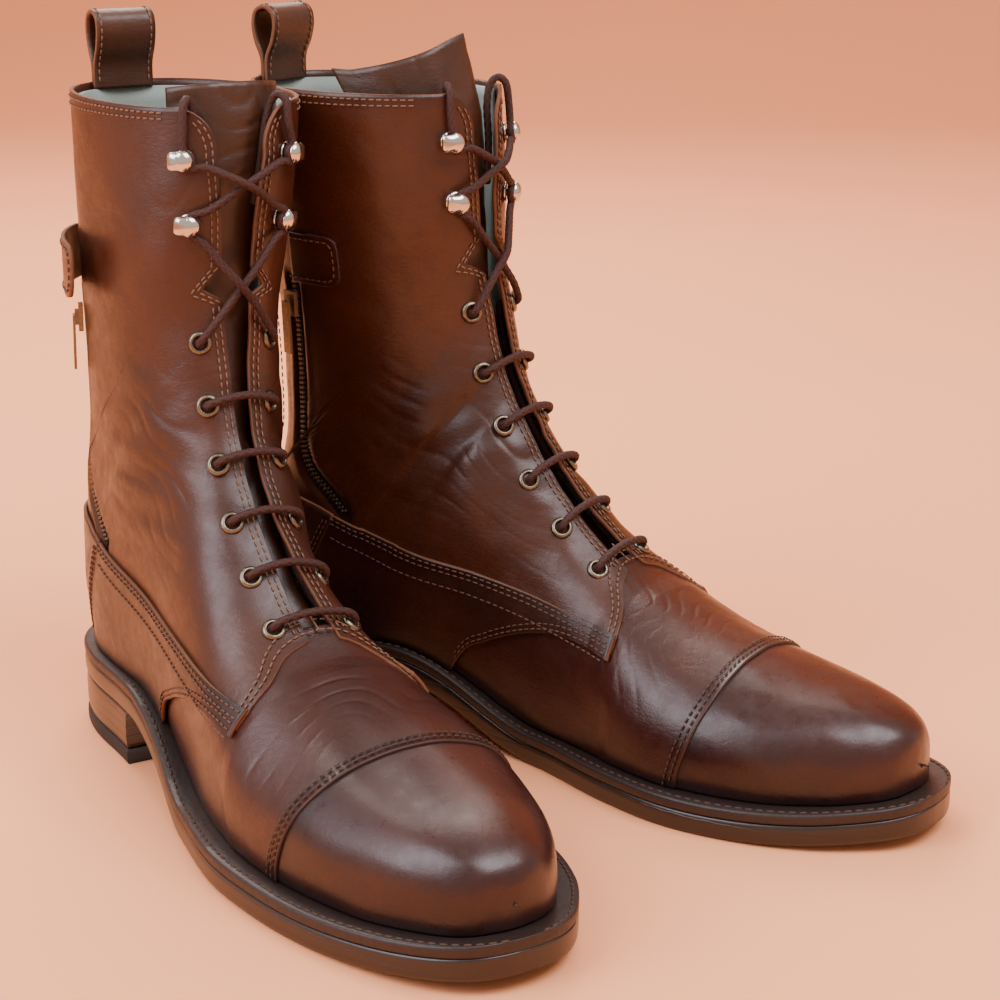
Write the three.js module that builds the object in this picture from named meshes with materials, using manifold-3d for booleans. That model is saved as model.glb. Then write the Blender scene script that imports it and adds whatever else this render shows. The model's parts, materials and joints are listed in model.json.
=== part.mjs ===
// A pair of lace-up riding boots with toe caps, built the way a shoemaker builds them:
// sole, welt, heel and insole below; lining, stiffeners, vamp, cap, quarters, foxings,
// back panel and tongue above; eyelets, lacing hooks, laces, zips, straps and pull loops on top.
//
// Each boot is modelled in its own frame: origin under the back of the heel, +Y to the toe,
// +Z up and +X to the outer (lateral) side of the foot.  The left boot is the mirror image.
// Millimetres throughout.
import * as THREE from "three";
import { mergeVertices } from "three/addons/utils/BufferGeometryUtils.js";
import Module from "manifold-3d";

const wasm = await Module();
wasm.setup();

// ---------------------------------------------------------------- driving dimensions
const SOLE_LENGTH = 305;
const SHAFT_TOP = 253;
const WELT_THICKNESS = 4.4;
const OUTSOLE_THICKNESS = 7.8;
const SOLE_STACK = 12.5;
const HEEL_LENGTH = 77;
const HEEL_LIFT = 6;
const FOREPART_SEAT = 12.7;
const HEEL_SEAT = 34.3;
const TOE_SPRING = 6;
const INSOLE_THICKNESS = 2.8;
const GAP = 0.3;

// Leather layers, as distances from the reference surface (plus is outwards).
const OUTER_LAYER = [-1.4, 0.2];
const MAIN_LAYER = [-3.3, -1.7];
const PUFF_LAYER = [-4.5, -3.6];
const STAY_DEPTH = [-5.2, -4.5];
const LINING_LAYER = [-6.0, -4.8];
const TONGUE_LAYER = [-10.6, -9.1];
const STRAP_LAYER = [0.5, 2.0];

const LACE_RADIUS = 1.25;
const LACE_INSIDE = -7.2;
const EYELET_BORE = 2.55;
const EYELET_BARREL = 3.1;
const EYELET_FLANGE = 4.4;
const HOOK_NECK = 1.7;

// Where the two boots stand, and how far each is turned about the vertical (degrees).
const PLACING = {
  r: { x: -29.85, y: 159.67, yaw: 168.33 },
  l: { x: 29.85, y: 138.17, yaw: -168.33 },
};

// Plan of the sole: distance from the heel, half width to the outer and to the inner side.
const SOLE_PLAN = [
  [0, 0, 0], [6, 20.6, 19.1], [18, 31.6, 30], [38, 37.5, 36], [70, 39, 33.6],
  [110, 42, 28.5], [150, 49.5, 32.5], [190, 55, 45], [215, 53.5, 50], [245, 48, 48],
  [270, 39.5, 40.5], [288, 30, 30], [298, 21.5, 21.5], [303, 13, 13], [305, 0, 0],
];

// Sections of the last, fanned from the toe, round the heel and up the shaft.
// Front point y, z; back point y, z (ON_SEAT where the section ends at the welt);
// greatest half width outer, inner (BY_PLAN times the half width at the welt);
// roundness of the front and of the back half (1 is an ellipse, less is squarer).
const ON_SEAT = -1;
const SECTIONS = [
  [299.6, 26, 299.6, ON_SEAT, 0, 0, 0.80, 0.80],
  [298.8, 34, 298.8, ON_SEAT, -1.02, -1.02, 0.78, 0.80],
  [295, 40.5, 295.5, ON_SEAT, -1.03, -1.03, 0.76, 0.80],
  [286.5, 45.5, 288.5, ON_SEAT, -1.03, -1.03, 0.78, 0.80],
  [271, 49.5, 274, ON_SEAT, -1.03, -1.03, 0.82, 0.80],
  [250, 53, 255, ON_SEAT, -1.03, -1.03, 0.88, 0.80],
  [228, 57.5, 235, ON_SEAT, -1.03, -1.03, 0.93, 0.80],
  [205, 63.5, 213, ON_SEAT, -1.02, -1.02, 0.94, 0.80],
  [184, 71.5, 190, ON_SEAT, -1.02, -1.02, 0.92, 0.80],
  [166.5, 81.5, 164, ON_SEAT, -1.02, -1.02, 0.86, 0.80],
  [152, 95.5, 135, ON_SEAT, -1.03, -1.03, 0.82, 0.80],
  [138.5, 111.5, 104, ON_SEAT, -1.04, -1.06, 0.82, 0.80],
  [127, 129, 72, ON_SEAT, 35.5, 31.5, 0.82, 0.78],
  [118.5, 146, 38, ON_SEAT, 36, 31.5, 0.82, 0.76],
  [114.5, 158.5, 15, ON_SEAT, 36, 31.5, 0.82, 0.74],
  [113, 164.5, 8, ON_SEAT, 36, 31.5, 0.82, 0.74],
  [112.2, 168.5, 5.2, ON_SEAT, 36, 31.5, 0.82, 0.74],
  [111.2, 174, 4.2, 47, 35.5, 31.5, 0.82, 0.74],
  [109.5, 185, 4.5, 75, 35.5, 31.5, 0.82, 0.78],
  [109, 198, 11.5, 108, 36, 31.5, 0.82, 0.86],
  [109.5, 213, 11.5, 148, 36.5, 34.5, 0.82, 0.90],
  [110, 228, 6.5, 188, 36.5, 38, 0.84, 0.90],
  [109.5, 240, 2, 222, 36, 40.5, 0.86, 0.92],
  [109, 253, 0, 253, 35.5, 42, 0.88, 0.92],
  [107.5, 275, -1, 276, 35.5, 42, 0.88, 0.92],
];
const LAST_ROW = SECTIONS.length - 1;
const TOE_END = 299.4;
const HEEL_END = 5.2;

// Sideways lean of the lacing line, by height: each boot has creased its own way.
const LEAN_HEIGHT = [40, 60, 77, 93, 110, 128, 148, 170, 213, 235, 255];
const LEAN = {
  r: [0, 0, 2.1, 4.6, 6.1, 5.9, 4.3, 2.3, -0.4, -2.3, -3],
  l: [0, 0, 4.7, 2, 1, 1.8, 1.8, 2.3, -1.9, -1.4, -1.4],
};

// Fastenings: section number of six eyelets and two hooks, and their distances from the
// lacing line on the outer and the inner side.
const FASTENER_ROW = [9.0, 10.05, 11.07, 12.13, 13.32, 16.85, 20.1, 21.68];
const FASTENER_OUT = {
  r: [14.9, 13.8, 12.8, 12.3, 12.9, 14.3, 18, 20],
  l: [17.0, 16.3, 16.3, 16.0, 15.8, 15.4, 18, 19],
};
const FASTENER_IN = {
  r: [16.5, 15.3, 13.8, 13.4, 14, 15.3, 19.5, 21.5],
  l: [14.6, 13.4, 13.4, 13.6, 13.2, 13.4, 16.5, 19],
};
const EYELETS = 6;

// Seams in side view, y then z.
const CAP_SEAM = [[219.5, 8], [221.5, 18], [224.5, 28], [227.5, 38], [230, 47], [231.5, 55], [232.5, 70]];
const FACING_FRONT = [[166, 92], [171, 81], [176, 73.8], [181.5, 67.6], [184.2, 60], [184.2, 53]];
const FOXING_TOP = [[53.4, 82.8], [75, 78], [98, 73.8], [118, 70.5], [140, 66.5], [165, 62], [184, 59.6]];
const FOXING_LOW = [[184, 51], [170, 53], [155, 53.3], [140, 50], [124, 43.5], [113, 37], [106, 27]];
const COUNTER_FRONT = [[26.5, 30], [31, 44], [40.5, 62], [52.6, 83]];
const ZIP_LINE = [[61.5, 77], [57.5, 84], [49.5, 91], [40.5, 99], [36, 108], [34.6, 120], [34.8, 140], [35, 160], [35, 177]];

// ---------------------------------------------------------------- numbers and curves
function lerp(xs, ys, x) {
  if (x <= xs[0]) return ys[0];
  const last = xs.length - 1;
  if (x >= xs[last]) return ys[last];
  let i = 0;
  while (x > xs[i + 1]) i += 1;
  return ys[i] + (ys[i + 1] - ys[i]) * (x - xs[i]) / (xs[i + 1] - xs[i]);
}

// Slopes at the knots: the parabola through each knot and its two neighbours.
function slopes(xs, ys) {
  const n = xs.length;
  const m = new Array(n);
  for (let i = 1; i < n - 1; i += 1) {
    const a = xs[i] - xs[i - 1];
    const b = xs[i + 1] - xs[i];
    m[i] = (a * a * ys[i + 1] - b * b * ys[i - 1] + (b * b - a * a) * ys[i]) / (a * b * (a + b));
  }
  m[0] = (ys[1] - ys[0]) / (xs[1] - xs[0]);
  m[n - 1] = (ys[n - 1] - ys[n - 2]) / (xs[n - 1] - xs[n - 2]);
  return m;
}

// Smooth curve through the points (xs, ys): cubic Hermite.
function hermite(xs, ys, m, x) {
  const n = xs.length;
  let i = 0;
  while (i < n - 2 && x > xs[i + 1]) i += 1;
  const h = xs[i + 1] - xs[i];
  const t = Math.min(Math.max((x - xs[i]) / h, 0), 1);
  const t2 = t * t;
  const t3 = t2 * t;
  return (2 * t3 - 3 * t2 + 1) * ys[i] + (t3 - 2 * t2 + t) * h * m[i]
    + (3 * t2 - 2 * t3) * ys[i + 1] + (t3 - t2) * h * m[i + 1];
}

function table(xs, ys) {
  const m = slopes(xs, ys);
  return (x) => hermite(xs, ys, m, x);
}

// The plan is smooth in the angle theta, where y runs from heel to toe as (1 - cos theta) / 2.
function planAngle(y) {
  return Math.acos(Math.min(Math.max(1 - 2 * y / SOLE_LENGTH, -1), 1));
}

const planKnots = SOLE_PLAN.map((row) => planAngle(row[0]));
const planHalf = [1, 2].map((k) => table(planKnots, SOLE_PLAN.map((row) => row[k])));

function soleHalf(y, side) {
  return Math.max(planHalf[side](planAngle(y)), 0);
}

// Height of the welt's top face along the sole: a smooth arch, taken at shared stations so
// that every piece that follows it is made of the same straight runs.
function seatCurve(y) {
  const k = Math.min(Math.max((150 - y) / 72, 0), 1);
  const spring = Math.min(Math.max((y - 225) / 80, 0), 1) ** 2 * TOE_SPRING;
  return FOREPART_SEAT + spring + (HEEL_SEAT - FOREPART_SEAT) * k * k * (3 - 2 * k);
}

const SEAT_STATIONS = [0, 78, 90, 103, 118, 132, 144, 152, 225, 255, 282, 305];
const seatLevels = SEAT_STATIONS.map(seatCurve);
function seatHeight(y) {
  return lerp(SEAT_STATIONS, seatLevels, y);
}

// Half width of the upper where it meets the welt.
function upperHalf(y, side) {
  const along = (y - HEEL_END) * SOLE_LENGTH / (TOE_END - HEEL_END);
  const inset = lerp([0, 60, 110, 210, 305], [0.92, 0.90, 0.86, 0.89, 0.885], along);
  return along <= 0 || along >= SOLE_LENGTH ? 0 : soleHalf(along, side) * inset;
}

// ---------------------------------------------------------------- the last
const rowIndex = SECTIONS.map((row, k) => k);
const lastSeatRow = SECTIONS.filter((row) => row[3] === ON_SEAT).length - 1;
const frontY = table(rowIndex, SECTIONS.map((row) => row[0]));
const frontZ = table(rowIndex, SECTIONS.map((row) => row[1]));
const backY = table(rowIndex, SECTIONS.map((row) => row[2]));
const backZ = table(rowIndex, SECTIONS.map((row) => (row[3] === ON_SEAT ? seatHeight(row[2]) : row[3])));
const roundFront = table(rowIndex, SECTIONS.map((row) => row[6]));
const roundBack = table(rowIndex, SECTIONS.map((row) => row[7]));
const widthSquared = [0, 1].map((side) => table(rowIndex, SECTIONS.map((row) => {
  const w = row[4 + side];
  return (w < 0 ? -w * upperHalf(row[2], side) : w) ** 2;
})));
const endSquared = [0, 1].map((side) => table(rowIndex, SECTIONS.map((row) => (
  row[3] === ON_SEAT ? upperHalf(row[2], side) ** 2 : 0
))));

function section(s, side) {
  const yb = backY(s);
  const w = Math.sqrt(Math.max(widthSquared[side](s), 0));
  const end = Math.min(Math.sqrt(Math.max(endSquared[side](s), 0)), w * 0.9995);
  const rb = roundBack(s);
  return {
    yf: frontY(s),
    zf: frontZ(s),
    yb,
    zb: s <= lastSeatRow - 1 ? seatHeight(yb) : backZ(s),
    w,
    rf: roundFront(s),
    rb,
    turn: Math.PI - Math.asin(Math.min((end / Math.max(w, 1e-6)) ** (1 / rb), 1)),
  };
}

function signedPower(c, e) {
  return Math.sign(c) * Math.abs(c) ** e;
}

function leanAt(boot, z) {
  return lerp(LEAN_HEIGHT, LEAN[boot], z);
}

// A point of the reference surface: s picks the section, t runs from the front line (0)
// round one side (0 outer, 1 inner) to the welt or the back seam (1).
function surfacePoint(boot, s, t, side) {
  const c = section(s, side);
  const angle = t * c.turn;
  const e = angle < Math.PI / 2 ? c.rf : c.rb;
  const q = (1 - signedPower(Math.cos(angle), e)) / (1 - signedPower(Math.cos(c.turn), c.rb));
  const x = c.w * Math.abs(Math.sin(angle)) ** e;
  const lean = leanAt(boot, c.zf) * (1 - q);
  return new THREE.Vector3(
    (side === 0 ? x : -x) + lean,
    c.yf + q * (c.yb - c.yf),
    c.zf + q * (c.zb - c.zf),
  );
}

function sideNormal(boot, s, t, side) {
  const h = 0.004;
  const s0 = Math.max(s - h, 0.001);
  const s1 = Math.min(s + h, LAST_ROW);
  const along = surfacePoint(boot, s1, t, side).sub(surfacePoint(boot, s0, t, side));
  const t0 = Math.max(t - h, 0.0001);
  const t1 = Math.min(t + h, 0.9999);
  const round = surfacePoint(boot, s, t1, side).sub(surfacePoint(boot, s, t0, side));
  const n = along.cross(round);
  return (side === 0 ? n : n.negate()).normalize();
}

// Outward unit normal; on the front line and the back seam both sides are averaged.
function surfaceNormal(boot, s, t, side) {
  if (s < 0.01) return new THREE.Vector3(0, 1, 0);
  const n = sideNormal(boot, s, t, side);
  if (t < 0.001 || (t > 0.999 && s >= lastSeatRow)) n.add(sideNormal(boot, s, t, 1 - side)).normalize();
  if (s <= lastSeatRow) {
    n.z *= 1 - Math.max((t - 0.8) / 0.2, 0);
    n.normalize();
  }
  return n;
}

function offsetPoint(boot, s, t, side, offset) {
  return surfacePoint(boot, s, t, side).addScaledVector(surfaceNormal(boot, s, t, side), offset);
}

// A point near the lacing line: x is the distance from that line, plus to the outer side.
function facingFrame(boot, s, x) {
  const side = x >= 0 ? 0 : 1;
  const c = section(s, side);
  const angle = Math.asin(Math.min(Math.abs(x) / c.w, 1) ** (1 / c.rf));
  const t = angle / c.turn;
  return { point: surfacePoint(boot, s, t, side), normal: surfaceNormal(boot, s, t, side) };
}

function facingPoint(boot, s, x, offset) {
  const f = facingFrame(boot, s, x);
  return f.point.addScaledVector(f.normal, offset);
}

// ---------------------------------------------------------------- solids
function solidFrom(positions, triangles) {
  const make = (tris) => new wasm.Manifold(new wasm.Mesh({
    numProp: 3,
    vertProperties: new Float32Array(positions),
    triVerts: new Uint32Array(tris),
  }));
  const solid = make(triangles);
  if (solid.volume() > 0) return solid;
  const flipped = [];
  for (let i = 0; i < triangles.length; i += 3) {
    flipped.push(triangles[i], triangles[i + 2], triangles[i + 1]);
  }
  return make(flipped);
}

function solidOf(geometry) {
  const bare = geometry.clone();
  bare.deleteAttribute("normal");
  bare.deleteAttribute("uv");
  const merged = mergeVertices(bare, 1e-4);
  return solidFrom(Array.from(merged.attributes.position.array), Array.from(merged.index.array));
}

// Rings of equal length, stacked, with a fan on each end.  Each four-cornered patch is split
// along the shorter diagonal of the guide rings, so parallel surfaces are split alike.
function stackedSolid(rings, firstIsPoint, guide = rings) {
  const positions = [];
  const triangles = [];
  const n = rings[rings.length - 1].length;
  const put = (p) => positions.push(p.x, p.y, p.z) / 3 - 1;
  let below = null;
  const startRing = firstIsPoint ? 1 : 0;
  const centre = (ring) => ring.reduce((a, p) => a.add(p), new THREE.Vector3()).divideScalar(ring.length);
  const start = put(firstIsPoint ? rings[0][0] : centre(rings[0]));
  for (let k = startRing; k < rings.length; k += 1) {
    const here = rings[k].map(put);
    for (let i = 0; i < n; i += 1) {
      const j = (i + 1) % n;
      if (below) {
        const rising = guide[k - 1][i].distanceTo(guide[k][j]);
        const falling = guide[k - 1][j].distanceTo(guide[k][i]);
        if (rising <= falling) triangles.push(below[i], below[j], here[j], below[i], here[j], here[i]);
        else triangles.push(below[i], below[j], here[i], below[j], here[j], here[i]);
      } else {
        triangles.push(start, here[j], here[i]);
      }
    }
    below = here;
  }
  const end = put(centre(rings[rings.length - 1]));
  for (let i = 0; i < n; i += 1) triangles.push(end, below[i], below[(i + 1) % n]);
  return solidFrom(positions, triangles);
}

const ROUND_STEPS = [0.1, 0.2, 0.34, 0.54, 0.78, 1];
const SECTION_STEPS = [0, 0.45, 1.5, 3.2, 5.3, 7.4, 8.8, 9.9, 11, 12.1, 13.2, 14.3, 15.1, 16, 17, 18.5, 20.5, 24];
const SKIRT = 7;

// Rings of the closed last at one offset from the surface, toe first.
function lastRings(boot, offset) {
  return SECTION_STEPS.map((s) => {
    const ring = [offsetPoint(boot, s, 0, 0, offset)];
    const sides = [0, 1].map((side) => {
      const run = ROUND_STEPS.map((t) => offsetPoint(boot, s, t, side, offset));
      const end = section(s, side);
      const drop = SKIRT * Math.sin(end.turn) ** 0.5;
      const foot = run[run.length - 1].clone();
      foot.z -= Number.isFinite(drop) && s <= lastSeatRow ? drop : 0;
      run.push(foot);
      return run;
    });
    return ring.concat(sides[0], sides[1].reverse());
  });
}

// Everything inside the surface at one offset: a closed solid of the last, grown or shrunk.
function lastSolid(boot, offset) {
  return stackedSolid(lastRings(boot, offset), true, lastRings(boot, 0));
}

const lastCache = new Map();
function layer(boot, [inner, outer]) {
  const get = (offset) => {
    const key = `${boot}${offset}`;
    if (!lastCache.has(key)) lastCache.set(key, lastSolid(boot, offset));
    return lastCache.get(key);
  };
  return get(outer).subtract(get(inner));
}

// Side-view outline (y, z) carried across from x0 to x1.
function prism(points, x0, x1) {
  const shape = new THREE.Shape(points.map(([y, z]) => new THREE.Vector2(y, z)));
  const geometry = new THREE.ExtrudeGeometry(shape, { depth: x1 - x0, bevelEnabled: false });
  const turn = new THREE.Matrix4().makeBasis(
    new THREE.Vector3(0, 1, 0),
    new THREE.Vector3(0, 0, 1),
    new THREE.Vector3(1, 0, 0),
  );
  geometry.applyMatrix4(turn);
  geometry.translate(x0, 0, 0);
  return solidOf(geometry);
}

function smooth(points, steps) {
  return new THREE.SplineCurve(points.map(([y, z]) => new THREE.Vector2(y, z)))
    .getPoints(steps)
    .map((p) => [p.x, p.y]);
}

function moved(points, dy, dz) {
  return points.map(([y, z]) => [y + dy, z + dz]);
}

// The line just above the welt, from one y to another.
function seatLine(y0, y1) {
  const low = Math.min(y0, y1);
  const high = Math.max(y0, y1);
  const inside = SEAT_STATIONS.filter((y) => y > low + 0.5 && y < high - 0.5);
  const line = [low, ...inside, high].map((y) => [y, seatHeight(y) + GAP]);
  return y0 <= y1 ? line : line.reverse();
}

// A slab along the lacing line: rows of [section, x from, x to], between two depths.
function strip(boot, rows, inner, outer) {
  const rings = rows.map(([s, xa, xb]) => {
    const front = surfacePoint(boot, s, 0, 0);
    const n = surfaceNormal(boot, s, 0, 0);
    n.x = 0;
    n.normalize();
    return [[xa, inner], [xb, inner], [xb, outer], [xa, outer]].map(([x, d]) => {
      const p = front.clone().addScaledVector(n, d);
      p.x += x;
      return p;
    });
  });
  return stackedSolid(rings, false);
}

// A plate lying along the sole: rows of [y, outer x, inner x, bottom z, top z].
function plate(rows) {
  const rings = rows.map(([y, xo, xi, zb, zt]) => [
    new THREE.Vector3(xo, y, zb),
    new THREE.Vector3(xo, y, zt),
    new THREE.Vector3(-xi, y, zt),
    new THREE.Vector3(-xi, y, zb),
  ]);
  return stackedSolid(rings, false);
}

// Rows across the sole from y0 to y1, close together at its rounded ends.
const PLATE_STATIONS = [2.5, 9, 22, 45, ...SEAT_STATIONS.slice(1, -1), 180, 205, 270, 296, 302.6]
  .sort((a, b) => a - b);
function soleRows(y0, y1, make) {
  const inside = PLATE_STATIONS.filter((y) => y > y0 + 1 && y < y1 - 1);
  return [y0, ...inside, y1].map(make);
}

function turned(geometry, point, normal) {
  const q = new THREE.Quaternion().setFromUnitVectors(new THREE.Vector3(0, 0, 1), normal);
  geometry.applyQuaternion(q);
  geometry.translate(point.x, point.y, point.z);
  return geometry;
}

// Lathe profile of [radius, height along the normal], set on the surface.
function lathed(profile, segments, point, normal) {
  const geometry = new THREE.LatheGeometry(profile.map(([r, z]) => new THREE.Vector2(r, z)), segments);
  geometry.rotateX(Math.PI / 2);
  return solidOf(turned(geometry, point, normal));
}

function pin(radius, from, to, point, normal, segments) {
  const geometry = new THREE.CylinderGeometry(radius, radius, to - from, segments);
  geometry.rotateX(Math.PI / 2);
  geometry.translate(0, 0, (from + to) / 2);
  return solidOf(turned(geometry, point, normal));
}

// ---------------------------------------------------------------- sole
function solePieces(boot) {
  const half = (y, side, inset) => Math.max(soleHalf(y, side) - inset, 0);
  const ends = [0.25, SOLE_LENGTH - 0.15];
  const outsole = plate(soleRows(...ends, (y) => {
    const z = seatHeight(y) - SOLE_STACK;
    return [y, half(y, 0, 0.2), half(y, 1, 0.2), z, z + OUTSOLE_THICKNESS];
  }));
  const weltPlate = plate(soleRows(...ends, (y) => {
    const z = seatHeight(y);
    return [y, half(y, 0, 0), half(y, 1, 0), z - WELT_THICKNESS, z];
  }));
  const hole = plate(soleRows(13, SOLE_LENGTH - 13, (y) => {
    const z = seatHeight(y);
    return [y, Math.max(half(y, 0, 12), 1), Math.max(half(y, 1, 12), 1), z - 9, z + 5];
  }));
  const shank = plate([42, 60, 80, 100, 120, 140, 158].map((y) => {
    const z = seatHeight(y);
    return [y, 8, 8, z - 2.2, z - 0.6];
  }));
  const insoleOutline = seatLine(-5, 300)
    .concat(moved(seatLine(-5, 300), 0, INSOLE_THICKNESS).reverse());
  const insole = lastSolid(boot, LINING_LAYER[0] - 0.4).intersect(prism(insoleOutline, -90, 90));
  const heelShape = (z0, z1, inset, length) => plate(
    soleRows(0.4, length, (y) => [y, half(y, 0, inset), half(y, 1, inset), z0, z1]),
  );
  const heelTop = HEEL_SEAT - SOLE_STACK - GAP;
  return {
    outsole,
    welt: weltPlate.subtract(hole),
    shank,
    insole,
    heel_block: heelShape(HEEL_LIFT + GAP, heelTop, 0.6, HEEL_LENGTH - 1),
    heel_lift: heelShape(0, HEEL_LIFT, 0.3, HEEL_LENGTH),
  };
}

// ---------------------------------------------------------------- openings in the upper
// Distance of a facing's edge from the lacing line, with the notch above the eyelets
// and the rounded corner at the top.
function facingEdge(boot, s, side) {
  const places = side === 0 ? FASTENER_OUT[boot] : FASTENER_IN[boot];
  const margin = lerp([9, 17, 20, 21.7], [9.8, 9.8, 11.6, 10.8], s);
  const edge = lerp(FASTENER_ROW, places, s) - margin;
  const notch = 13.5 - Math.abs(s - 18.45) * 17;
  const corner = lerp([22, 22.4, 22.7, 22.9, 23.05, 23.2], [0, 1.5, 4, 7.5, 14, 20], s);
  return Math.max(edge, notch) + corner;
}

const SLOT_STEPS = [7, 8.8, 9.9, 11, 12.1, 14.3, 17.96, 18.45, 18.94, 20, 22, 22.5, 22.85, 23.1, 24];

// Everything on the far side of one facing's edge.
function beyondFacing(boot, side) {
  const rows = SLOT_STEPS.map((s) => {
    const edge = facingEdge(boot, s, side);
    return side === 0 ? [s, -90, edge] : [s, -edge, 90];
  });
  return strip(boot, rows, -34, 8);
}

function fastener(boot, k, side) {
  const x = side === 0 ? FASTENER_OUT[boot][k] : -FASTENER_IN[boot][k];
  const frame = facingFrame(boot, FASTENER_ROW[k], x);
  return { ...frame, s: FASTENER_ROW[k], x };
}

// A band of the given half width along a side-view line.
function band(line, half) {
  const curve = new THREE.SplineCurve(line.map(([y, z]) => new THREE.Vector2(y, z)));
  const left = [];
  const right = [];
  const steps = 8;
  for (let i = 0; i <= steps; i += 1) {
    const p = curve.getPoint(i / steps);
    const d = curve.getTangent(i / steps);
    left.push([p.x - d.y * half, p.y + d.x * half]);
    right.push([p.x + d.y * half, p.y - d.x * half]);
  }
  return left.concat(right.reverse());
}

// ---------------------------------------------------------------- upper
function upperPieces(boot) {
  const FAR = 90;
  const main = layer(boot, MAIN_LAYER);
  const outer = layer(boot, OUTER_LAYER);
  const puff = layer(boot, PUFF_LAYER);
  const seam = smooth(CAP_SEAM, 6);
  const pieces = {};

  const capOutline = (inset) => seatLine(322, 219.3 + inset)
    .concat(moved(seam, 0.15 + inset, 0).filter(([y, z]) => z > seatHeight(y) + 1), [[322, 70]]);
  pieces.toe_cap = main.intersect(prism(capOutline(0), -FAR, FAR));
  pieces.toe_puff = puff.intersect(prism(capOutline(4), -FAR, FAR));

  const front = smooth(FACING_FRONT, 6);
  const vampOutline = seatLine(88, 219.2)
    .concat(moved(seam, -0.15, 0).filter(([y, z]) => z > seatHeight(y) + 1))
    .concat([[200, 95]], moved(front, 0.15, -0.15))
    .concat(smooth([[165, 54.4], [140, 56.4], [118, 58], [101, 55], [91, 46]], 5));
  pieces.vamp = main.intersect(prism(vampOutline, -FAR, FAR));

  const top = [[200, SHAFT_TOP], [-20, SHAFT_TOP]];
  const quarterOutline = front.slice().reverse()
    .concat([[166, 120], [150, 200]], top)
    .concat([[-20, 76], [50, 76]], smooth([[75, 71.5], [98, 67.2], [118, 64], [140, 60], [165, 55.6]], 4));
  const zipCut = prism(band(ZIP_LINE, 2.9), -FAR, FAR);
  const zipBand = prism(band(ZIP_LINE.slice(0, -1).concat([[35, 176.6]]), 2.6), -FAR, FAR);
  const sides = ["lateral", "medial"];
  const sidePrism = (outline, side) => (side === 0
    ? prism(outline, 0.15, FAR)
    : prism(outline, -FAR, -0.15));
  sides.forEach((word, side) => {
    const across = side === 0 ? [-14, FAR] : [-FAR, 14];
    const backHalf = [[-20, 0], [75, 0], [75, 300], [-20, 300]];
    let quarter = main.intersect(prism(quarterOutline, ...across))
      .subtract(prism(backHalf, side === 0 ? -14 : -0.15, side === 0 ? 0.15 : 14))
      .subtract(beyondFacing(boot, side))
      .subtract(zipCut);
    for (let k = 0; k < EYELETS; k += 1) {
      const e = fastener(boot, k, side);
      quarter = quarter.subtract(pin(EYELET_BARREL + 0.45, -6, 3, e.point, e.normal, 6));
    }
    pieces[`quarter_${word}`] = quarter;
    pieces[`zip_${word}`] = layer(boot, [MAIN_LAYER[0], MAIN_LAYER[1] + 0.1]).intersect(
      zipBand.intersect(sidePrism([[-20, 0], [200, 0], [200, 300], [-20, 300]], side)),
    );
    const foxingOutline = smooth(FOXING_TOP, 6)
      .concat([[184.2, 55]], smooth(FOXING_LOW, 7))
      .concat(seatLine(105.5, 27.5), moved(smooth(COUNTER_FRONT, 6), 0.3, 0).filter(([y, z]) => z > 36));
    pieces[`foxing_${word}`] = outer.intersect(sidePrism(foxingOutline, side));
  });

  const backOutline = seatLine(-20, 26.9)
    .concat(smooth(COUNTER_FRONT, 6).filter(([y, z]) => z > 36), smooth([[46, 85], [30, 88], [-20, 90]], 6));
  const stayStrip = prism([[-20, 80], [40, 80], [40, SHAFT_TOP], [-20, SHAFT_TOP]], -8, 8);
  pieces.back_panel = outer.intersect(prism(backOutline, -FAR, FAR).add(stayStrip));

  const counterOutline = seatLine(-20, 62).concat([[66, 45], [60, 62], [48, 75.6], [-20, 75.6]]);
  pieces.counter_stiffener = main.intersect(prism(counterOutline, -FAR, FAR));

  const liningSlot = strip(boot, [8.35, 10.5, 12.1, 15, 24].map((s) => [s, -22.5, 22.5]), -34, 8);
  const liningOutline = seatLine(-20, 322).concat([[322, SHAFT_TOP], [-20, SHAFT_TOP]]);
  pieces.lining = layer(boot, LINING_LAYER).intersect(prism(liningOutline, -FAR, FAR)).subtract(liningSlot);

  // A ribbon that follows the surface beside the lacing line: rows of [section, x from, x to].
  const ribbon = (rows, [inner, outerDepth], shares) => stackedSolid(rows.map(([s, xa, xb]) => {
    const xs = shares.map((u) => xa + (xb - xa) * u);
    const back = xs.map((x) => facingPoint(boot, s, x, inner));
    const face = xs.map((x) => facingPoint(boot, s, x, outerDepth));
    return back.concat(face.reverse());
  }), false);
  const tongueRows = [7.6, ...SECTION_STEPS.filter((s) => s > 8 && s < 23), 23.45].map((s) => {
    const half = lerp([7.6, 9, 12, 19, 23.4], [17, 24, 30, 31, 30], s);
    return [s, -half, half];
  });
  pieces.tongue = ribbon(tongueRows, TONGUE_LAYER, [0, 0.2, 0.36, 0.5, 0.64, 0.8, 1]);

  // Stay: a thin strip of leather behind each facing, which carries the row of eyelets.
  const stayRows = (side) => [8.62, ...SECTION_STEPS.filter((s) => s > 8.8 && s < 17.2), 17.5].map((s) => {
    const edge = facingEdge(boot, s, side) + 1;
    return side === 0 ? [s, edge, 21.5] : [s, -21.5, -edge];
  });
  sides.forEach((word, side) => {
    let row = ribbon(stayRows(side), STAY_DEPTH, [0, 0.33, 0.66, 1]);
    for (let k = 0; k < EYELETS; k += 1) {
      const e = fastener(boot, k, side);
      row = row.add(pin(EYELET_FLANGE, -0.8, -0.25, e.point, e.normal, 8))
        .add(pin(EYELET_BARREL, -5.3, -0.5, e.point, e.normal, 6))
        .subtract(pin(EYELET_BORE, -8, 2, e.point, e.normal, 6));
    }
    pieces[`eyelets_${word}`] = row;
  });
  return pieces;
}

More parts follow.
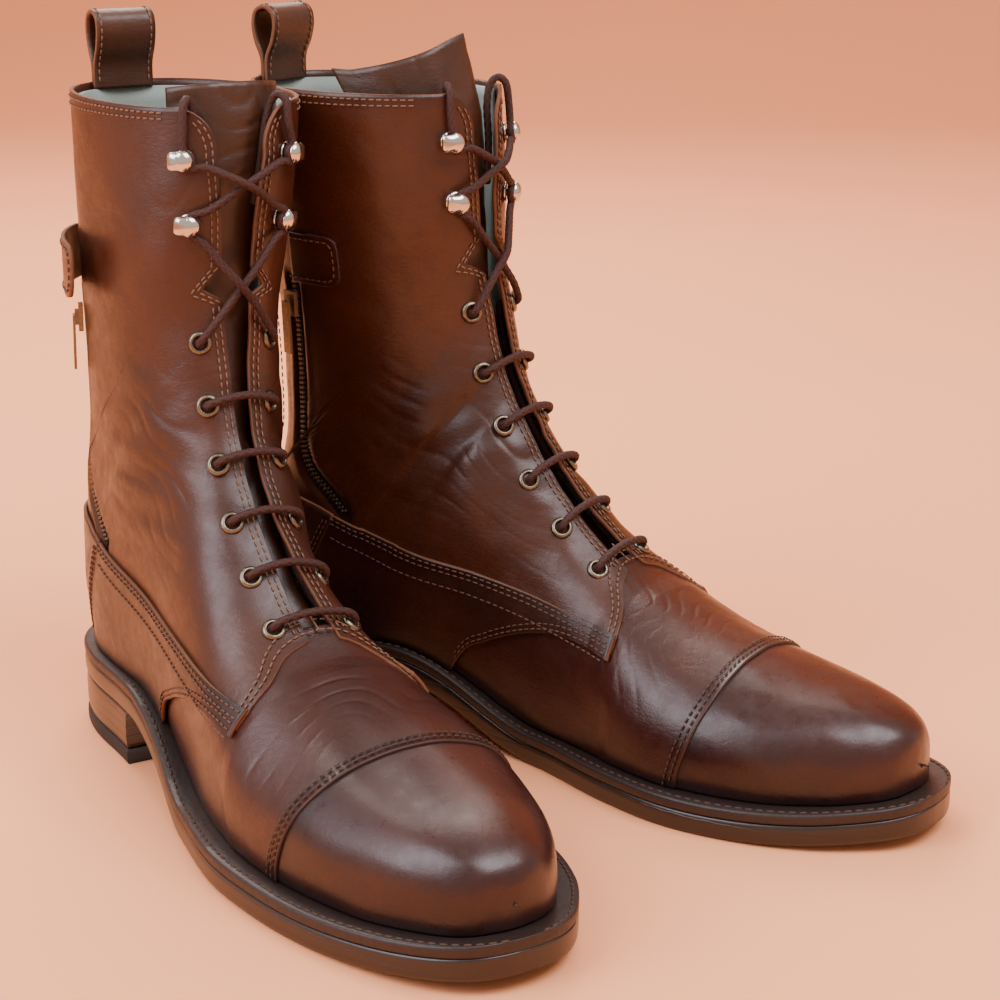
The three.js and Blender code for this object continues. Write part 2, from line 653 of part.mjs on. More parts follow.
// ---------------------------------------------------------------- fittings
function hook(boot, k, side) {
  const e = fastener(boot, k, side);
  const profile = [[0, -0.85], [4.2, -0.85], [HOOK_NECK, -0.2], [HOOK_NECK, 2.8], [4.8, 3], [4, 5.3], [0, 6.6]];
  return lathed(profile, 8, e.point, e.normal);
}

// Side-view place (y, z) on the surface of one side: the section whose line passes through it.
function sidePlace(boot, y, z, side) {
  let low = lastSeatRow;
  let high = LAST_ROW;
  const above = (s) => {
    const c = section(s, side);
    return (c.zb - c.zf) * (y - c.yf) - (c.yb - c.yf) * (z - c.zf);
  };
  const sign = Math.sign(above(low));
  for (let i = 0; i < 40; i += 1) {
    const mid = (low + high) / 2;
    if (Math.sign(above(mid)) === sign) low = mid;
    else high = mid;
  }
  const s = (low + high) / 2;
  let t0 = 0;
  let t1 = 1;
  for (let i = 0; i < 40; i += 1) {
    const mid = (t0 + t1) / 2;
    if (surfacePoint(boot, s, mid, side).y > y) t0 = mid;
    else t1 = mid;
  }
  const t = (t0 + t1) / 2;
  return { point: surfacePoint(boot, s, t, side), normal: surfaceNormal(boot, s, t, side) };
}

// Frame on the side of the shaft: x along the zip (up), y across it, z outwards.
function zipFrame(boot, side) {
  const a = sidePlace(boot, 35, 168, side);
  const b = sidePlace(boot, 34.7, 122, side);
  const up = a.point.clone().sub(b.point).normalize();
  const out = a.normal.clone().addScaledVector(up, -a.normal.dot(up)).normalize();
  const across = new THREE.Vector3().crossVectors(out, up);
  return { origin: a.point, up, out, across };
}

function zipSlider(boot, side) {
  const f = zipFrame(boot, side);
  const basis = new THREE.Matrix4().makeBasis(f.up, f.across, f.out).setPosition(f.origin);
  const box = (x0, x1, y, z0, z1) => {
    const geometry = new THREE.BoxGeometry(x1 - x0, 2 * y, z1 - z0);
    geometry.translate((x0 + x1) / 2, 0, (z0 + z1) / 2);
    geometry.applyMatrix4(basis);
    return solidOf(geometry);
  };
  const body = box(-5, 5, 3.6, -0.6, 1.2);
  const bridge = box(-3, 3, 1, 1, 2.6);
  const tab = box(-20, 1, 2.4, 2.4, 3.4);
  return body.add(bridge).add(tab);
}

// Lateral strap: a leather tab whose front end stands a little off the shaft.
const STRAP_LIFT = 9;
function strapAxis(boot) {
  const a = sidePlace(boot, 16, 182, 0);
  const b = sidePlace(boot, 16, 200, 0);
  const axis = b.point.clone().sub(a.point).normalize();
  return { point: a.point.clone().addScaledVector(a.normal, 1.25), axis };
}

function strap(boot) {
  const outline = [[16, 181], [55, 179.5]]
    .concat(smooth([[58, 180], [61.5, 184], [62, 190], [61.5, 197], [58, 200.5]], 6), [[55, 201], [16, 200]]);
  const flat = layer(boot, STRAP_LAYER).intersect(prism(outline, 6, 90));
  const { point, axis } = strapAxis(boot);
  const turn = new THREE.Matrix4().makeTranslation(point)
    .multiply(new THREE.Matrix4().makeRotationAxis(axis, THREE.MathUtils.degToRad(-STRAP_LIFT)))
    .multiply(new THREE.Matrix4().makeTranslation(point.clone().negate()));
  const mesh = flat.getMesh();
  const p = new THREE.Vector3();
  const positions = [];
  for (let i = 0; i < mesh.vertProperties.length; i += 3) {
    p.fromArray(mesh.vertProperties, i).applyMatrix4(turn);
    positions.push(p.x, p.y, p.z);
  }
  return solidFrom(positions, Array.from(mesh.triVerts));
}

// Pull loop: a folded strip of leather standing on the back of the top edge.
const LOOP_BASE = 254.6;
const LOOP_Y = 7;
function pullLoop() {
  const outer = [[-1.7, 0], [-1.9, 5], [-4.8, 12], [-6, 18.6], [-4.4, 24.2], [0.5, 26.4],
    [5.2, 23.6], [6.3, 18.2], [4.8, 11.6], [1.9, 5], [1.7, 0]];
  const inner = [[0, 6.2], [3, 12.4], [4.5, 18.2], [3.7, 22.4], [0.4, 24.6], [-3.1, 22.8],
    [-4.2, 18.6], [-3.1, 12.8]];
  return prism(moved(outer, LOOP_Y, LOOP_BASE), -12, 12)
    .subtract(prism(moved(inner, LOOP_Y, LOOP_BASE), -14, 14));
}

// ---------------------------------------------------------------- lace
// A curve whose sections fall exactly on the given points.
class Route extends THREE.CatmullRomCurve3 {
  getUtoTmapping(u) {
    return u;
  }
}

function laceRoute(boot) {
  const at = (s, x, offset) => facingPoint(boot, s, x, offset);
  const place = (k, side) => ({ s: FASTENER_ROW[k - 1], x: fastener(boot, k - 1, side).x });
  // Through an eyelet, from outside to inside.
  const through = (k, side) => {
    const { s, x } = place(k, side);
    return [at(s, x, 0.6), at(s, x, -2.7), at(s, x, -6.2)];
  };
  // Straight bar outside from one side to the other at one pair of eyelets.
  const bar = (k, from) => {
    const a = place(k, from);
    const b = place(k, 1 - from);
    return [0.1, 0.5, 0.9].map((u, i) => at(
      a.s + (b.s - a.s) * u,
      a.x + (b.x - a.x) * u,
      [2.1, 2.3, 2.1][i],
    ));
  };
  // Inside run up one side, bowed toward or away from the lacing line where it passes an eyelet.
  const run = (k0, k1, side, bow) => {
    const a = place(k0, side);
    const b = place(k1, side);
    const steps = k1 - k0 === 1 ? [0.2, 0.8] : [0.12, 0.36, 0.64, 0.88];
    const sg = side === 0 ? 1 : -1;
    return steps.map((u) => {
      const s = a.s + (b.s - a.s) * u;
      const x = lerp(FASTENER_ROW, side === 0 ? FASTENER_OUT[boot] : FASTENER_IN[boot], s);
      const shape = Math.min(1, Math.sin(Math.PI * u) * 1.25);
      return at(s, sg * (x + bow * shape), LACE_INSIDE);
    });
  };
  // Half a turn round a hook's neck on the side away from the lacing line.
  const round = (k, side) => {
    const e = fastener(boot, k - 1, side);
    const up = facingFrame(boot, e.s + 0.05, e.x).point.sub(e.point).normalize();
    const away = new THREE.Vector3().crossVectors(up, e.normal).multiplyScalar(side === 0 ? 1 : -1);
    const r = HOOK_NECK + LACE_RADIUS + 0.35;
    return [-80, -30, 20, 80].map((deg) => {
      const a = THREE.MathUtils.degToRad(deg);
      return e.point.clone().addScaledVector(e.normal, 1.15)
        .addScaledVector(up, r * Math.sin(a)).addScaledVector(away, r * Math.cos(a));
    });
  };
  // From one side at a fastening up to the other side at the next, crossing at height mid.
  const cross = (k, side, mid) => {
    const a = place(k, side);
    const b = place(k + 1, 1 - side);
    const low = k === 6 ? 1.9 : 1.6;
    return [0.16, 0.34, 0.5, 0.66, 0.84].map((u, i) => at(
      a.s + (b.s - a.s) * u,
      a.x + (b.x - a.x) * u,
      [low, (low + mid) / 2, mid, (1.6 + mid) / 2, 1.5][i],
    ));
  };
  // From the top hook over the facing's edge and down inside it.
  const tuck = (side) => {
    const sg = side === 0 ? 1 : -1;
    return [[22.5, 19.5, 1.2], [23.06, 19.2, 0.2], [23.16, 18.9, -2.5], [23.05, 18.4, -5.4],
      [22.6, 17, LACE_INSIDE], [21.4, 13.6, LACE_INSIDE], [20.2, 11, LACE_INSIDE]]
      .map(([s, x, d]) => at(s, sg * x, d));
  };
  const out = (k, side) => through(k, side).reverse();
  // End A starts on the outer side of the lowest pair, end B on the inner side.
  const endA = through(1, 0).concat(
    run(1, 2, 0, 0), out(2, 0), bar(2, 0), through(2, 1), run(2, 4, 1, 3.4), out(4, 1), bar(4, 1),
    through(4, 0), run(4, 6, 0, 3.4), out(6, 0), cross(6, 0, 2.3), round(7, 1), cross(7, 1, 5.4),
    round(8, 0), tuck(0),
  );
  const endB = through(1, 1).concat(
    run(1, 3, 1, -3.4), out(3, 1), bar(3, 1), through(3, 0), run(3, 5, 0, -3.4), out(5, 0), bar(5, 0),
    through(5, 1), run(5, 6, 1, 0), out(6, 1), cross(6, 1, 5.2), round(7, 0), cross(7, 0, 2.4),
    round(8, 1), tuck(1),
  );
  return endA.reverse().concat(bar(1, 0), endB);
}

function lace(boot) {
  const points = laceRoute(boot);
  const circle = new THREE.Shape(Array.from({ length: 6 }, (unused, i) => {
    const a = Math.PI * 2 * i / 6;
    return new THREE.Vector2(LACE_RADIUS * Math.cos(a), LACE_RADIUS * Math.sin(a));
  }));
  const route = new Route(points, false, "centripetal");
  const geometry = new THREE.ExtrudeGeometry(circle, { steps: points.length - 1, extrudePath: route });
  return solidOf(geometry);
}

// ---------------------------------------------------------------- assembly
const LOOKS = {
  outsole: ["#2b1d16", 0.7, 0], welt: ["#3a261a", 0.8, 0], shank: ["#8f9296", 0.35, 1], insole: ["#b08d68", 0.8, 0],
  heel_block: ["#33211a", 0.55, 0], heel_lift: ["#1f1a18", 0.85, 0], toe_cap: ["#4a2620", 0.3, 0],
  toe_puff: ["#9b8468", 0.9, 0], vamp: ["#5b3226", 0.38, 0], quarter: ["#6a3d28", 0.4, 0],
  foxing: ["#5a3323", 0.38, 0], back_panel: ["#5a3323", 0.4, 0], counter_stiffener: ["#9b8468", 0.9, 0],
  lining: ["#7f8a83", 0.7, 0], tongue: ["#5e3a26", 0.45, 0], eyelets: ["#7d7263", 0.3, 1], hook: ["#c9c6bf", 0.18, 1],
  zip: ["#241c1a", 0.6, 0], slider: ["#a8a49b", 0.3, 1], strap: ["#6b432b", 0.5, 0],
  pull_loop: ["#63402a", 0.5, 0], lace: ["#4a2418", 0.85, 0],
};

function meshOf(name, look, solid, mirrored) {
  const data = solid.getMesh();
  const positions = Float32Array.from(data.vertProperties);
  const index = Uint32Array.from(data.triVerts);
  if (mirrored) {
    for (let i = 0; i < positions.length; i += 3) positions[i] = -positions[i];
    for (let i = 0; i < index.length; i += 3) {
      const keep = index[i + 1];
      index[i + 1] = index[i + 2];
      index[i + 2] = keep;
    }
  }
  const geometry = new THREE.BufferGeometry();
  geometry.setAttribute("position", new THREE.BufferAttribute(positions, 3));
  geometry.setIndex(new THREE.BufferAttribute(index, 1));
  geometry.computeVertexNormals();
  const [color, roughness, metalness] = LOOKS[look];
  const mesh = new THREE.Mesh(geometry, new THREE.MeshStandardMaterial({ color, roughness, metalness }));
  mesh.name = name;
  return mesh;
}

function bootGroup(boot) {
  const group = new THREE.Group();
  const add = (name, look, solid) => group.add(meshOf(`${name}_${boot}`, look, solid, boot === "l"));
  for (const [name, solid] of Object.entries(solePieces(boot))) add(name, name, solid);
  for (const [name, solid] of Object.entries(upperPieces(boot))) {
    add(name, name.split(/_lateral|_medial/)[0], solid);
  }
  ["lateral", "medial"].forEach((word, side) => {
    add(`hook_lower_${word}`, "hook", hook(boot, 6, side));
    add(`hook_upper_${word}`, "hook", hook(boot, 7, side));
    add(`zip_slider_${word}`, "slider", zipSlider(boot, side));
  });
  add("strap", "strap", strap(boot));
  add("pull_loop", "pull_loop", pullLoop());
  add("lace", "lace", lace(boot));
  const { x, y, yaw } = PLACING[boot];
  group.position.set(x, y, 0);
  group.rotation.z = THREE.MathUtils.degToRad(yaw);
  return group;
}

const boots = new THREE.Group();
boots.add(bootGroup("r"), bootGroup("l"));

export default boots;
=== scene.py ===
import json
import bmesh
import bpy
import numpy as np
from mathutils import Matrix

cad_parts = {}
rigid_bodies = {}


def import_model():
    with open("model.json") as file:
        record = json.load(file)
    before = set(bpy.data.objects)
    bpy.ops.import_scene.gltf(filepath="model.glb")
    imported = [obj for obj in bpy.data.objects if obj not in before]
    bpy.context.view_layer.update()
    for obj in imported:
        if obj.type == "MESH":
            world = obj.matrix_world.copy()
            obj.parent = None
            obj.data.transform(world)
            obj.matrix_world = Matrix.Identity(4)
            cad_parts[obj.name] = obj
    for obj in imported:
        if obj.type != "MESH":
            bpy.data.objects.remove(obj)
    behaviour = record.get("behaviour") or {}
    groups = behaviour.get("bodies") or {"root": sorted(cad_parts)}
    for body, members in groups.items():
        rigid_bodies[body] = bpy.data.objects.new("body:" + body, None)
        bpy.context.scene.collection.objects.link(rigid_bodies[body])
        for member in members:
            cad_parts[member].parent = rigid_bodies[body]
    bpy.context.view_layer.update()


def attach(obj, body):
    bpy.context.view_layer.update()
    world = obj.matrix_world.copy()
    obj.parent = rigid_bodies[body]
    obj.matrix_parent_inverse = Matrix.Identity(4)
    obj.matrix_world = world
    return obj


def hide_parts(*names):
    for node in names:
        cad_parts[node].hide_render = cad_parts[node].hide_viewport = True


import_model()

# %% [markdown]
# ## How this lesson works
# Two lace-up riding boots are drawn here over a frame of plain solids that holds every size.
# A shoemaker pulls leather over a wooden last; this script does the same with numbers. One
# function gives the surface of the last, and every panel is a patch of that surface.

# %% Sizes of the boot, in millimetres
# Each boot has its own frame: origin under the back of the heel, +Y to the toe, +X outwards.
SOLE_LENGTH = 305.0
SOLE_PLAN = np.array([
    [0, 0, 0], [6, 20.6, 19.1], [18, 31.6, 30], [38, 37.5, 36], [70, 39, 33.6],
    [110, 42, 28.5], [150, 49.5, 32.5], [190, 55, 45], [215, 53.5, 50], [245, 48, 48],
    [270, 39.5, 40.5], [288, 30, 30], [298, 21.5, 21.5], [303, 13, 13], [305, 0, 0]])
ON_SEAT = -1
# Sections of the last: front y z, back y z, half widths outer inner, roundness front back.
SECTIONS = np.array([
    [299.6, 26, 299.6, ON_SEAT, 0, 0, 0.80, 0.80],
    [298.8, 34, 298.8, ON_SEAT, -1.02, -1.02, 0.78, 0.80],
    [295, 40.5, 295.5, ON_SEAT, -1.03, -1.03, 0.76, 0.80],
    [286.5, 45.5, 288.5, ON_SEAT, -1.03, -1.03, 0.78, 0.80],
    [271, 49.5, 274, ON_SEAT, -1.03, -1.03, 0.82, 0.80],
    [250, 53, 255, ON_SEAT, -1.03, -1.03, 0.88, 0.80],
    [228, 57.5, 235, ON_SEAT, -1.03, -1.03, 0.93, 0.80],
    [205, 63.5, 213, ON_SEAT, -1.02, -1.02, 0.94, 0.80],
    [184, 71.5, 190, ON_SEAT, -1.02, -1.02, 0.92, 0.80],
    [166.5, 81.5, 164, ON_SEAT, -1.02, -1.02, 0.86, 0.80],
    [152, 95.5, 135, ON_SEAT, -1.03, -1.03, 0.82, 0.80],
    [138.5, 111.5, 104, ON_SEAT, -1.04, -1.06, 0.82, 0.80],
    [127, 129, 72, ON_SEAT, 35.5, 31.5, 0.82, 0.78],
    [118.5, 146, 38, ON_SEAT, 36, 31.5, 0.82, 0.76],
    [114.5, 158.5, 15, ON_SEAT, 36, 31.5, 0.82, 0.74],
    [113, 164.5, 8, ON_SEAT, 36, 31.5, 0.82, 0.74],
    [112.2, 168.5, 5.2, ON_SEAT, 36, 31.5, 0.82, 0.74],
    [111.2, 174, 4.2, 47, 35.5, 31.5, 0.82, 0.74],
    [109.5, 185, 4.5, 75, 35.5, 31.5, 0.82, 0.78],
    [109, 198, 11.5, 108, 36, 31.5, 0.82, 0.86],
    [109.5, 213, 11.5, 148, 36.5, 34.5, 0.82, 0.90],
    [110, 228, 6.5, 188, 36.5, 38, 0.84, 0.90],
    [109.5, 240, 2, 222, 36, 40.5, 0.86, 0.92],
    [109, 253, 0, 253, 35.5, 42, 0.88, 0.92],
    [107.5, 275, -1, 276, 35.5, 42, 0.88, 0.92]])
LAST_ROW = len(SECTIONS) - 1
LAST_SEAT_ROW = int(np.flatnonzero(SECTIONS[:, 3] == ON_SEAT).max())
LEAN_HEIGHT = [40, 60, 77, 93, 110, 128, 148, 170, 213, 235, 255]
LEAN = {"r": [0, 0, 2.1, 4.6, 6.1, 5.9, 4.3, 2.3, -0.4, -2.3, -3],
        "l": [0, 0, 4.7, 2, 1, 1.8, 1.8, 2.3, -1.9, -1.4, -1.4]}
PLACING = {"r": (-29.85, 159.67, 168.33), "l": (29.85, 138.17, -168.33)}
FASTENER_ROW = [9.0, 10.05, 11.07, 12.13, 13.32, 16.85, 20.1, 21.68]
FASTENER_X = {
    "r": ([14.9, 13.8, 12.8, 12.3, 12.9, 14.3, 18, 20],
          [16.5, 15.3, 13.8, 13.4, 14, 15.3, 19.5, 21.5]),
    "l": ([17.0, 16.3, 16.3, 16.0, 15.8, 15.4, 18, 19],
          [14.6, 13.4, 13.4, 13.6, 13.2, 13.4, 16.5, 19])}
BOOTS = "rl"
SIDES = ("lateral", "medial")
print("sections of the last:", len(SECTIONS), "- stations of the sole:", len(SOLE_PLAN))

# %% [markdown]
# ## The last
# A section of the last is half an oval that runs from the lacing line, round the side, to the
# welt. All the sections fan from the toe, round the instep and up the leg. Between two rows of
# the table a smooth curve is drawn, so the surface has no corners. The whole surface is worked
# out with arrays: one call gives a grid of any fineness.


# %% Smooth curves through a table
def smooth_curve(xs, ys, x):
    """Cubic Hermite curve through the points: value = blend of the two ends and their slopes."""
    xs, ys, x = (np.asarray(v, float) for v in (xs, ys, x))
    slope = np.gradient(ys, xs)
    i = np.clip(np.searchsorted(xs, x) - 1, 0, len(xs) - 2)
    h = xs[i + 1] - xs[i]
    t = np.clip((x - xs[i]) / h, 0, 1)
    return ((2 * t**3 - 3 * t**2 + 1) * ys[i] + (t**3 - 2 * t**2 + t) * h * slope[i]
            + (3 * t**2 - 2 * t**3) * ys[i + 1] + (t**3 - t**2) * h * slope[i + 1])


def plan_angle(y):
    """Angle whose cosine runs evenly from heel to toe: it makes both round ends smooth."""
    return np.arccos(np.clip(1 - 2 * np.asarray(y, float) / SOLE_LENGTH, -1, 1))


def sole_half(y, side):
    """Half width of the sole at y."""
    stations = plan_angle(SOLE_PLAN[:, 0])
    return np.maximum(smooth_curve(stations, SOLE_PLAN[:, 1 + side], plan_angle(y)), 0)


def seat_height(y):
    """Top of the welt: flat forepart, a smooth step up to the heel, a parabola of toe spring."""
    y = np.asarray(y, float)
    k = np.clip((150 - y) / 72, 0, 1)
    return 12.7 + 6 * np.clip((y - 225) / 80, 0, 1)**2 + 21.6 * k * k * (3 - 2 * k)


def upper_half(y, side):
    """Half width of the upper where it meets the welt: a share of the sole's half width."""
    along = (np.asarray(y, float) - 5.2) * SOLE_LENGTH / (299.4 - 5.2)
    share = np.interp(along, [0, 60, 110, 210, 305], [0.92, 0.90, 0.86, 0.89, 0.885])
    return np.where((along <= 0) | (along >= SOLE_LENGTH), 0, sole_half(along, side) * share)


print("half width of the sole at heel and ball:", sole_half(np.array([30.0, 210.0]), 0).round(1))

# %% The surface of the last
ROWS = np.arange(LAST_ROW + 1)
BACK_HEIGHT = np.where(SECTIONS[:, 3] == ON_SEAT, seat_height(SECTIONS[:, 2]), SECTIONS[:, 3])
FOOT = [upper_half(SECTIONS[:, 2], side) for side in (0, 1)]
# A width below zero in the table is a share of the half width at the welt.
WIDTH_SQUARED = [np.where(w < 0, -w * foot, w)**2 for w, foot in zip(SECTIONS[:, 4:6].T, FOOT)]
FOOT_SQUARED = [np.where(SECTIONS[:, 3] == ON_SEAT, foot, 0)**2 for foot in FOOT]


def section(s, side):
    """Front point, back point, half width, roundness and last angle of the section at s."""
    yf, zf, yb = (smooth_curve(ROWS, SECTIONS[:, k], s) for k in (0, 1, 2))
    zb = np.where(s <= LAST_SEAT_ROW - 1, seat_height(yb), smooth_curve(ROWS, BACK_HEIGHT, s))
    w = np.sqrt(np.maximum(smooth_curve(ROWS, WIDTH_SQUARED[side], s), 0))
    foot = np.minimum(np.sqrt(np.maximum(smooth_curve(ROWS, FOOT_SQUARED[side], s), 0)), w * 0.9995)
    rf, rb = (smooth_curve(ROWS, SECTIONS[:, k], s) for k in (6, 7))
    turn = np.pi - np.arcsin(np.clip((foot / np.maximum(w, 1e-6))**(1 / rb), 0, 1))
    return yf, zf, yb, zb, w, rf, rb, turn


def signed_power(c, e):
    """Power that keeps the sign."""
    return np.sign(c) * np.abs(c)**e


def last_point(boot, s, t, side):
    """Superellipse along the section: x = width * sin^e, share of the way back = (1 - cos^e)."""
    s, t = np.broadcast_arrays(np.asarray(s, float), np.asarray(t, float))
    yf, zf, yb, zb, w, rf, rb, turn = section(s, side)
    angle = t * turn
    e = np.where(angle < np.pi / 2, rf, rb)
    q = (1 - signed_power(np.cos(angle), e)) / (1 - signed_power(np.cos(turn), rb))
    x = w * np.abs(np.sin(angle))**e
    lean = np.interp(zf, LEAN_HEIGHT, LEAN[boot]) * (1 - q)
    return np.stack([(x if side == 0 else -x) + lean, yf + q * (yb - yf), zf + q * (zb - zf)], -1)


def unit(v):
    """Vectors divided by their length."""
    return v / (np.linalg.norm(v, axis=-1, keepdims=True) + 1e-12)


def side_normal(boot, s, t, side):
    """Cross product of the two directions of the surface, pointing out of the boot."""
    h = 0.004
    t0, t1 = np.clip(t - h, 1e-4, 1), np.clip(t + h, 0, 0.9999)
    s0, s1 = np.clip(s - h, 1e-3, LAST_ROW), np.clip(s + h, 0, LAST_ROW)
    along = last_point(boot, s1, t, side) - last_point(boot, s0, t, side)
    round_ = last_point(boot, s, t1, side) - last_point(boot, s, t0, side)
    n = np.cross(along, round_)
    return unit(n if side == 0 else -n)


def last_normal(boot, s, t, side):
    """Outward normal; both sides are averaged on the lacing line and on the back seam."""
    s, t = np.broadcast_arrays(np.asarray(s, float), np.asarray(t, float))
    n = side_normal(boot, s, t, side)
    other = side_normal(boot, s, t, 1 - side)
    seam = (t < 0.001) | (s < 0.002) | ((t > 0.999) & (s >= LAST_SEAT_ROW))
    n = np.where(seam[..., None], unit(n + other), n)
    flat = np.where(s <= LAST_SEAT_ROW, 1 - np.clip((t - 0.8) / 0.2, 0, 1), 1.0)
    n[..., 2] *= flat
    return unit(n)


def facing_place(s, x):
    """Section s and share t of the point that lies x from the lacing line; also its side."""
    s, x = np.broadcast_arrays(np.asarray(s, float), np.asarray(x, float))
    found = []
    for side in (0, 1):
        _, _, _, _, w, rf, _, turn = section(s, side)
        found.append(np.arcsin(np.clip(np.abs(x) / np.maximum(w, 1e-6), 0, 1)**(1 / rf)) / turn)
    return s, np.where(x >= 0, found[0], found[1]), x >= 0


def beside_lacing(boot, s, x, offset):
    """Point near the lacing line and its normal, for x on either side."""
    s, t, outer = facing_place(s, x)
    p = np.where(outer[..., None], last_point(boot, s, t, 0), last_point(boot, s, t, 1))
    n = np.where(outer[..., None], last_normal(boot, s, t, 0), last_normal(boot, s, t, 1))
    return p + n * np.asarray(offset, float)[..., None], n


def side_place(y, z, side, low=4.0, high=23.9):
    """Section and share of the surface point seen from the side at y, z. The section is found
    by halving the range thirty times; the share follows from the oval's own formula."""
    y, z = np.broadcast_arrays(np.asarray(y, float), np.asarray(z, float))

    def above(s):
        yf, zf, yb, zb = section(s, side)[:4]
        return (zb - zf) * (y - yf) - (yb - yf) * (z - zf)
    a, b = np.full(y.shape, low), np.full(y.shape, high)
    sign = np.sign(above(a))
    for _ in range(30):
        mid = (a + b) / 2
        same = np.sign(above(mid)) == sign
        a, b = np.where(same, mid, a), np.where(same, b, mid)
    s = (a + b) / 2
    yf, zf, yb, zb, w, rf, rb, turn = section(s, side)
    q = ((y - yf) * (yb - yf) + (z - zf) * (zb - zf)) / ((yb - yf)**2 + (zb - zf)**2)
    c = 1 - np.clip(q, 0, 1) * (1 - signed_power(np.cos(turn), rb))
    angle = np.arccos(np.clip(signed_power(c, np.where(c > 0, 1 / rf, 1 / rb)), -1, 1))
    return s, np.clip(angle / turn, 0, 1)


print("toe point of the last:", last_point("r", np.array(0.02), np.array(0.0), 0).round(1))

# %% [markdown]
# ## From numbers to meshes
# Every panel is a grid of points. A grid becomes a mesh with one face for each square, a UV map
# in millimetres, and a few named values for each point, such as how dark the dye is there.
# The left boot is the mirror image of the right one, so its points are mirrored before placing.


# %% Placing and meshing
def place(points, boot):
    """Mirror the left boot, turn about the vertical, move into the shared frame, in metres."""
    x0, y0, yaw = PLACING[boot]
    p = np.array(points, float)
    if boot == "l":
        p[..., 0] *= -1
    c, s = np.cos(np.radians(yaw)), np.sin(np.radians(yaw))
    return np.stack([x0 + c * p[..., 0] - s * p[..., 1], y0 + s * p[..., 0] + c * p[..., 1],
                     p[..., 2]], -1) / 1000


def grid_faces(rows, cols, close_rows=False, close_cols=False):
    """Corner numbers of every square of a grid, wrapping round where it is closed."""
    r = np.arange(rows if close_rows else rows - 1)
    c = np.arange(cols if close_cols else cols - 1)
    a, b = np.meshgrid(r, c, indexing="ij")
    a2, b2 = (a + 1) % rows, (b + 1) % cols
    return np.stack([a * cols + b, a * cols + b2, a2 * cols + b2, a2 * cols + b], -1).reshape(-1, 4)


def face_areas(p, faces):
    """Vector area of each four-cornered face: half the cross product of its diagonals."""
    q = p[faces]
    return np.cross(q[:, 2] - q[:, 0], q[:, 3] - q[:, 1]) / 2


def make_piece(name, body, points, faces, materials, outward=None, values=None, uv=None,
               solid=None, face_slots=None, merge=False):
    """A mesh object in the shared frame, riding on a body. Faces are turned to point outwards:
    along the given outward directions on a sheet, or away from the middle on a closed body.
    A thickness in millimetres makes a sheet solid, and merging joins its doubled points."""
    p = points.reshape(-1, 3)
    areas = face_areas(p, faces)
    centres = p[faces].mean(1)
    if outward is None:
        keep = np.sum(areas * (centres - p.mean(0))) > 0
    else:
        keep = np.sum(areas * outward.reshape(-1, 3)[faces].mean(1)) > 0
    if not keep:
        faces = faces[:, ::-1]
    mesh = bpy.data.meshes.new(name)
    mesh.from_pydata(p, [], faces)
    for key, value in (values or {}).items():
        layer = mesh.attributes.new(key, "FLOAT", "POINT")
        layer.data.foreach_set("value", np.asarray(value, np.float32).reshape(-1))
    if uv is not None:
        loops = np.empty(len(mesh.loops), np.int32)
        mesh.loops.foreach_get("vertex_index", loops)
        mesh.uv_layers.new(name="UVMap").data.foreach_set(
            "uv", np.asarray(uv, np.float32).reshape(-1, 2)[loops].reshape(-1))
    mesh.polygons.foreach_set("use_smooth", np.full(len(mesh.polygons), True))
    obj = bpy.data.objects.new(name, mesh)
    bpy.context.collection.objects.link(obj)
    for material in materials:
        mesh.materials.append(material)
    if face_slots is not None:
        mesh.polygons.foreach_set("material_index", np.asarray(face_slots, np.int32))
    if solid:
        m = obj.modifiers.new("thickness", "SOLIDIFY")
        m.thickness = solid / 1000
        m.offset = -1
        m.use_even_offset = False
        m.material_offset_rim = 1 if len(materials) > 1 else 0
    if merge:
        work = bmesh.new()
        work.from_mesh(mesh)
        bmesh.ops.remove_doubles(work, verts=work.verts, dist=2e-6)
        work.to_mesh(mesh)
        work.free()
    mesh.update()
    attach(obj, body)
    return obj


def merge_grids(grids):
    """Several point-and-face sets as one."""
    points, faces, start = [], [], 0
    for p, f in grids:
        points.append(p.reshape(-1, 3))
        faces.append(f + start)
        start += len(points[-1])
    return np.concatenate(points), np.concatenate(faces)


print("a grid of 3 by 4 points has", len(grid_faces(3, 4)), "faces")

# %% Patterns worked out in numbers
def waves(p, size, seed, steps=5):
    """Soft bumps between -1 and 1: a sum of sine waves in seeded directions, in millimetres."""
    rng = np.random.default_rng(seed)
    total = np.zeros(p.shape[:-1])
    for _ in range(steps):
        d = rng.normal(size=3)
        d *= 2 * np.pi / (size * rng.uniform(0.7, 1.5) * np.linalg.norm(d))
        total += np.sin(p @ d + rng.uniform(0, 2 * np.pi))
    return total / steps**0.5 / 1.4


def creases(p, direction, spacing, seed, bend=9.0):
    """Sharp valleys: -(1 - |sin|)^3 of the distance across, bent by soft waves."""
    across = p @ np.asarray(direction, float) + bend * waves(p, 38, seed)
    strength = np.clip(0.5 + 0.8 * waves(p, 26, seed + 1), 0, 1)
    return -strength * (1 - np.abs(np.sin(np.pi * across / spacing)))**3


def hill(x, middle, width):
    """Bell curve."""
    return np.exp(-((x - middle) / width)**2)


print("a hill of 10 mm, at its middle and its width:", hill(np.array([0.0, 10.0]), 0, 10).round(2))

# %% [markdown]
# ## Finishes
# The boots are waxed pull-up calf: a warm brown hide, rubbed with darker red wax toward the
# toes and seams, and then polished. The same darker colour is also painted in as shade: low
# on the upper by the welt, round the ankle, and as thin shadow lines at the cap seam and along
# the foxing's top edge. The polish fills the grain, so the gloss is broad and soft. One
# material function makes every leather part, with its own two dyes.


# %% Colours and nodes
def linear(hex_colour):
    """sRGB hex to linear RGBA: the standard curve, ((c + 0.055) / 1.055) ^ 2.4 above 0.04."""
    c = np.array([int(hex_colour[i:i + 2], 16) for i in (1, 3, 5)]) / 255
    c = np.where(c <= 0.04045, c / 12.92, ((c + 0.055) / 1.055)**2.4)
    return (*c, 1.0)


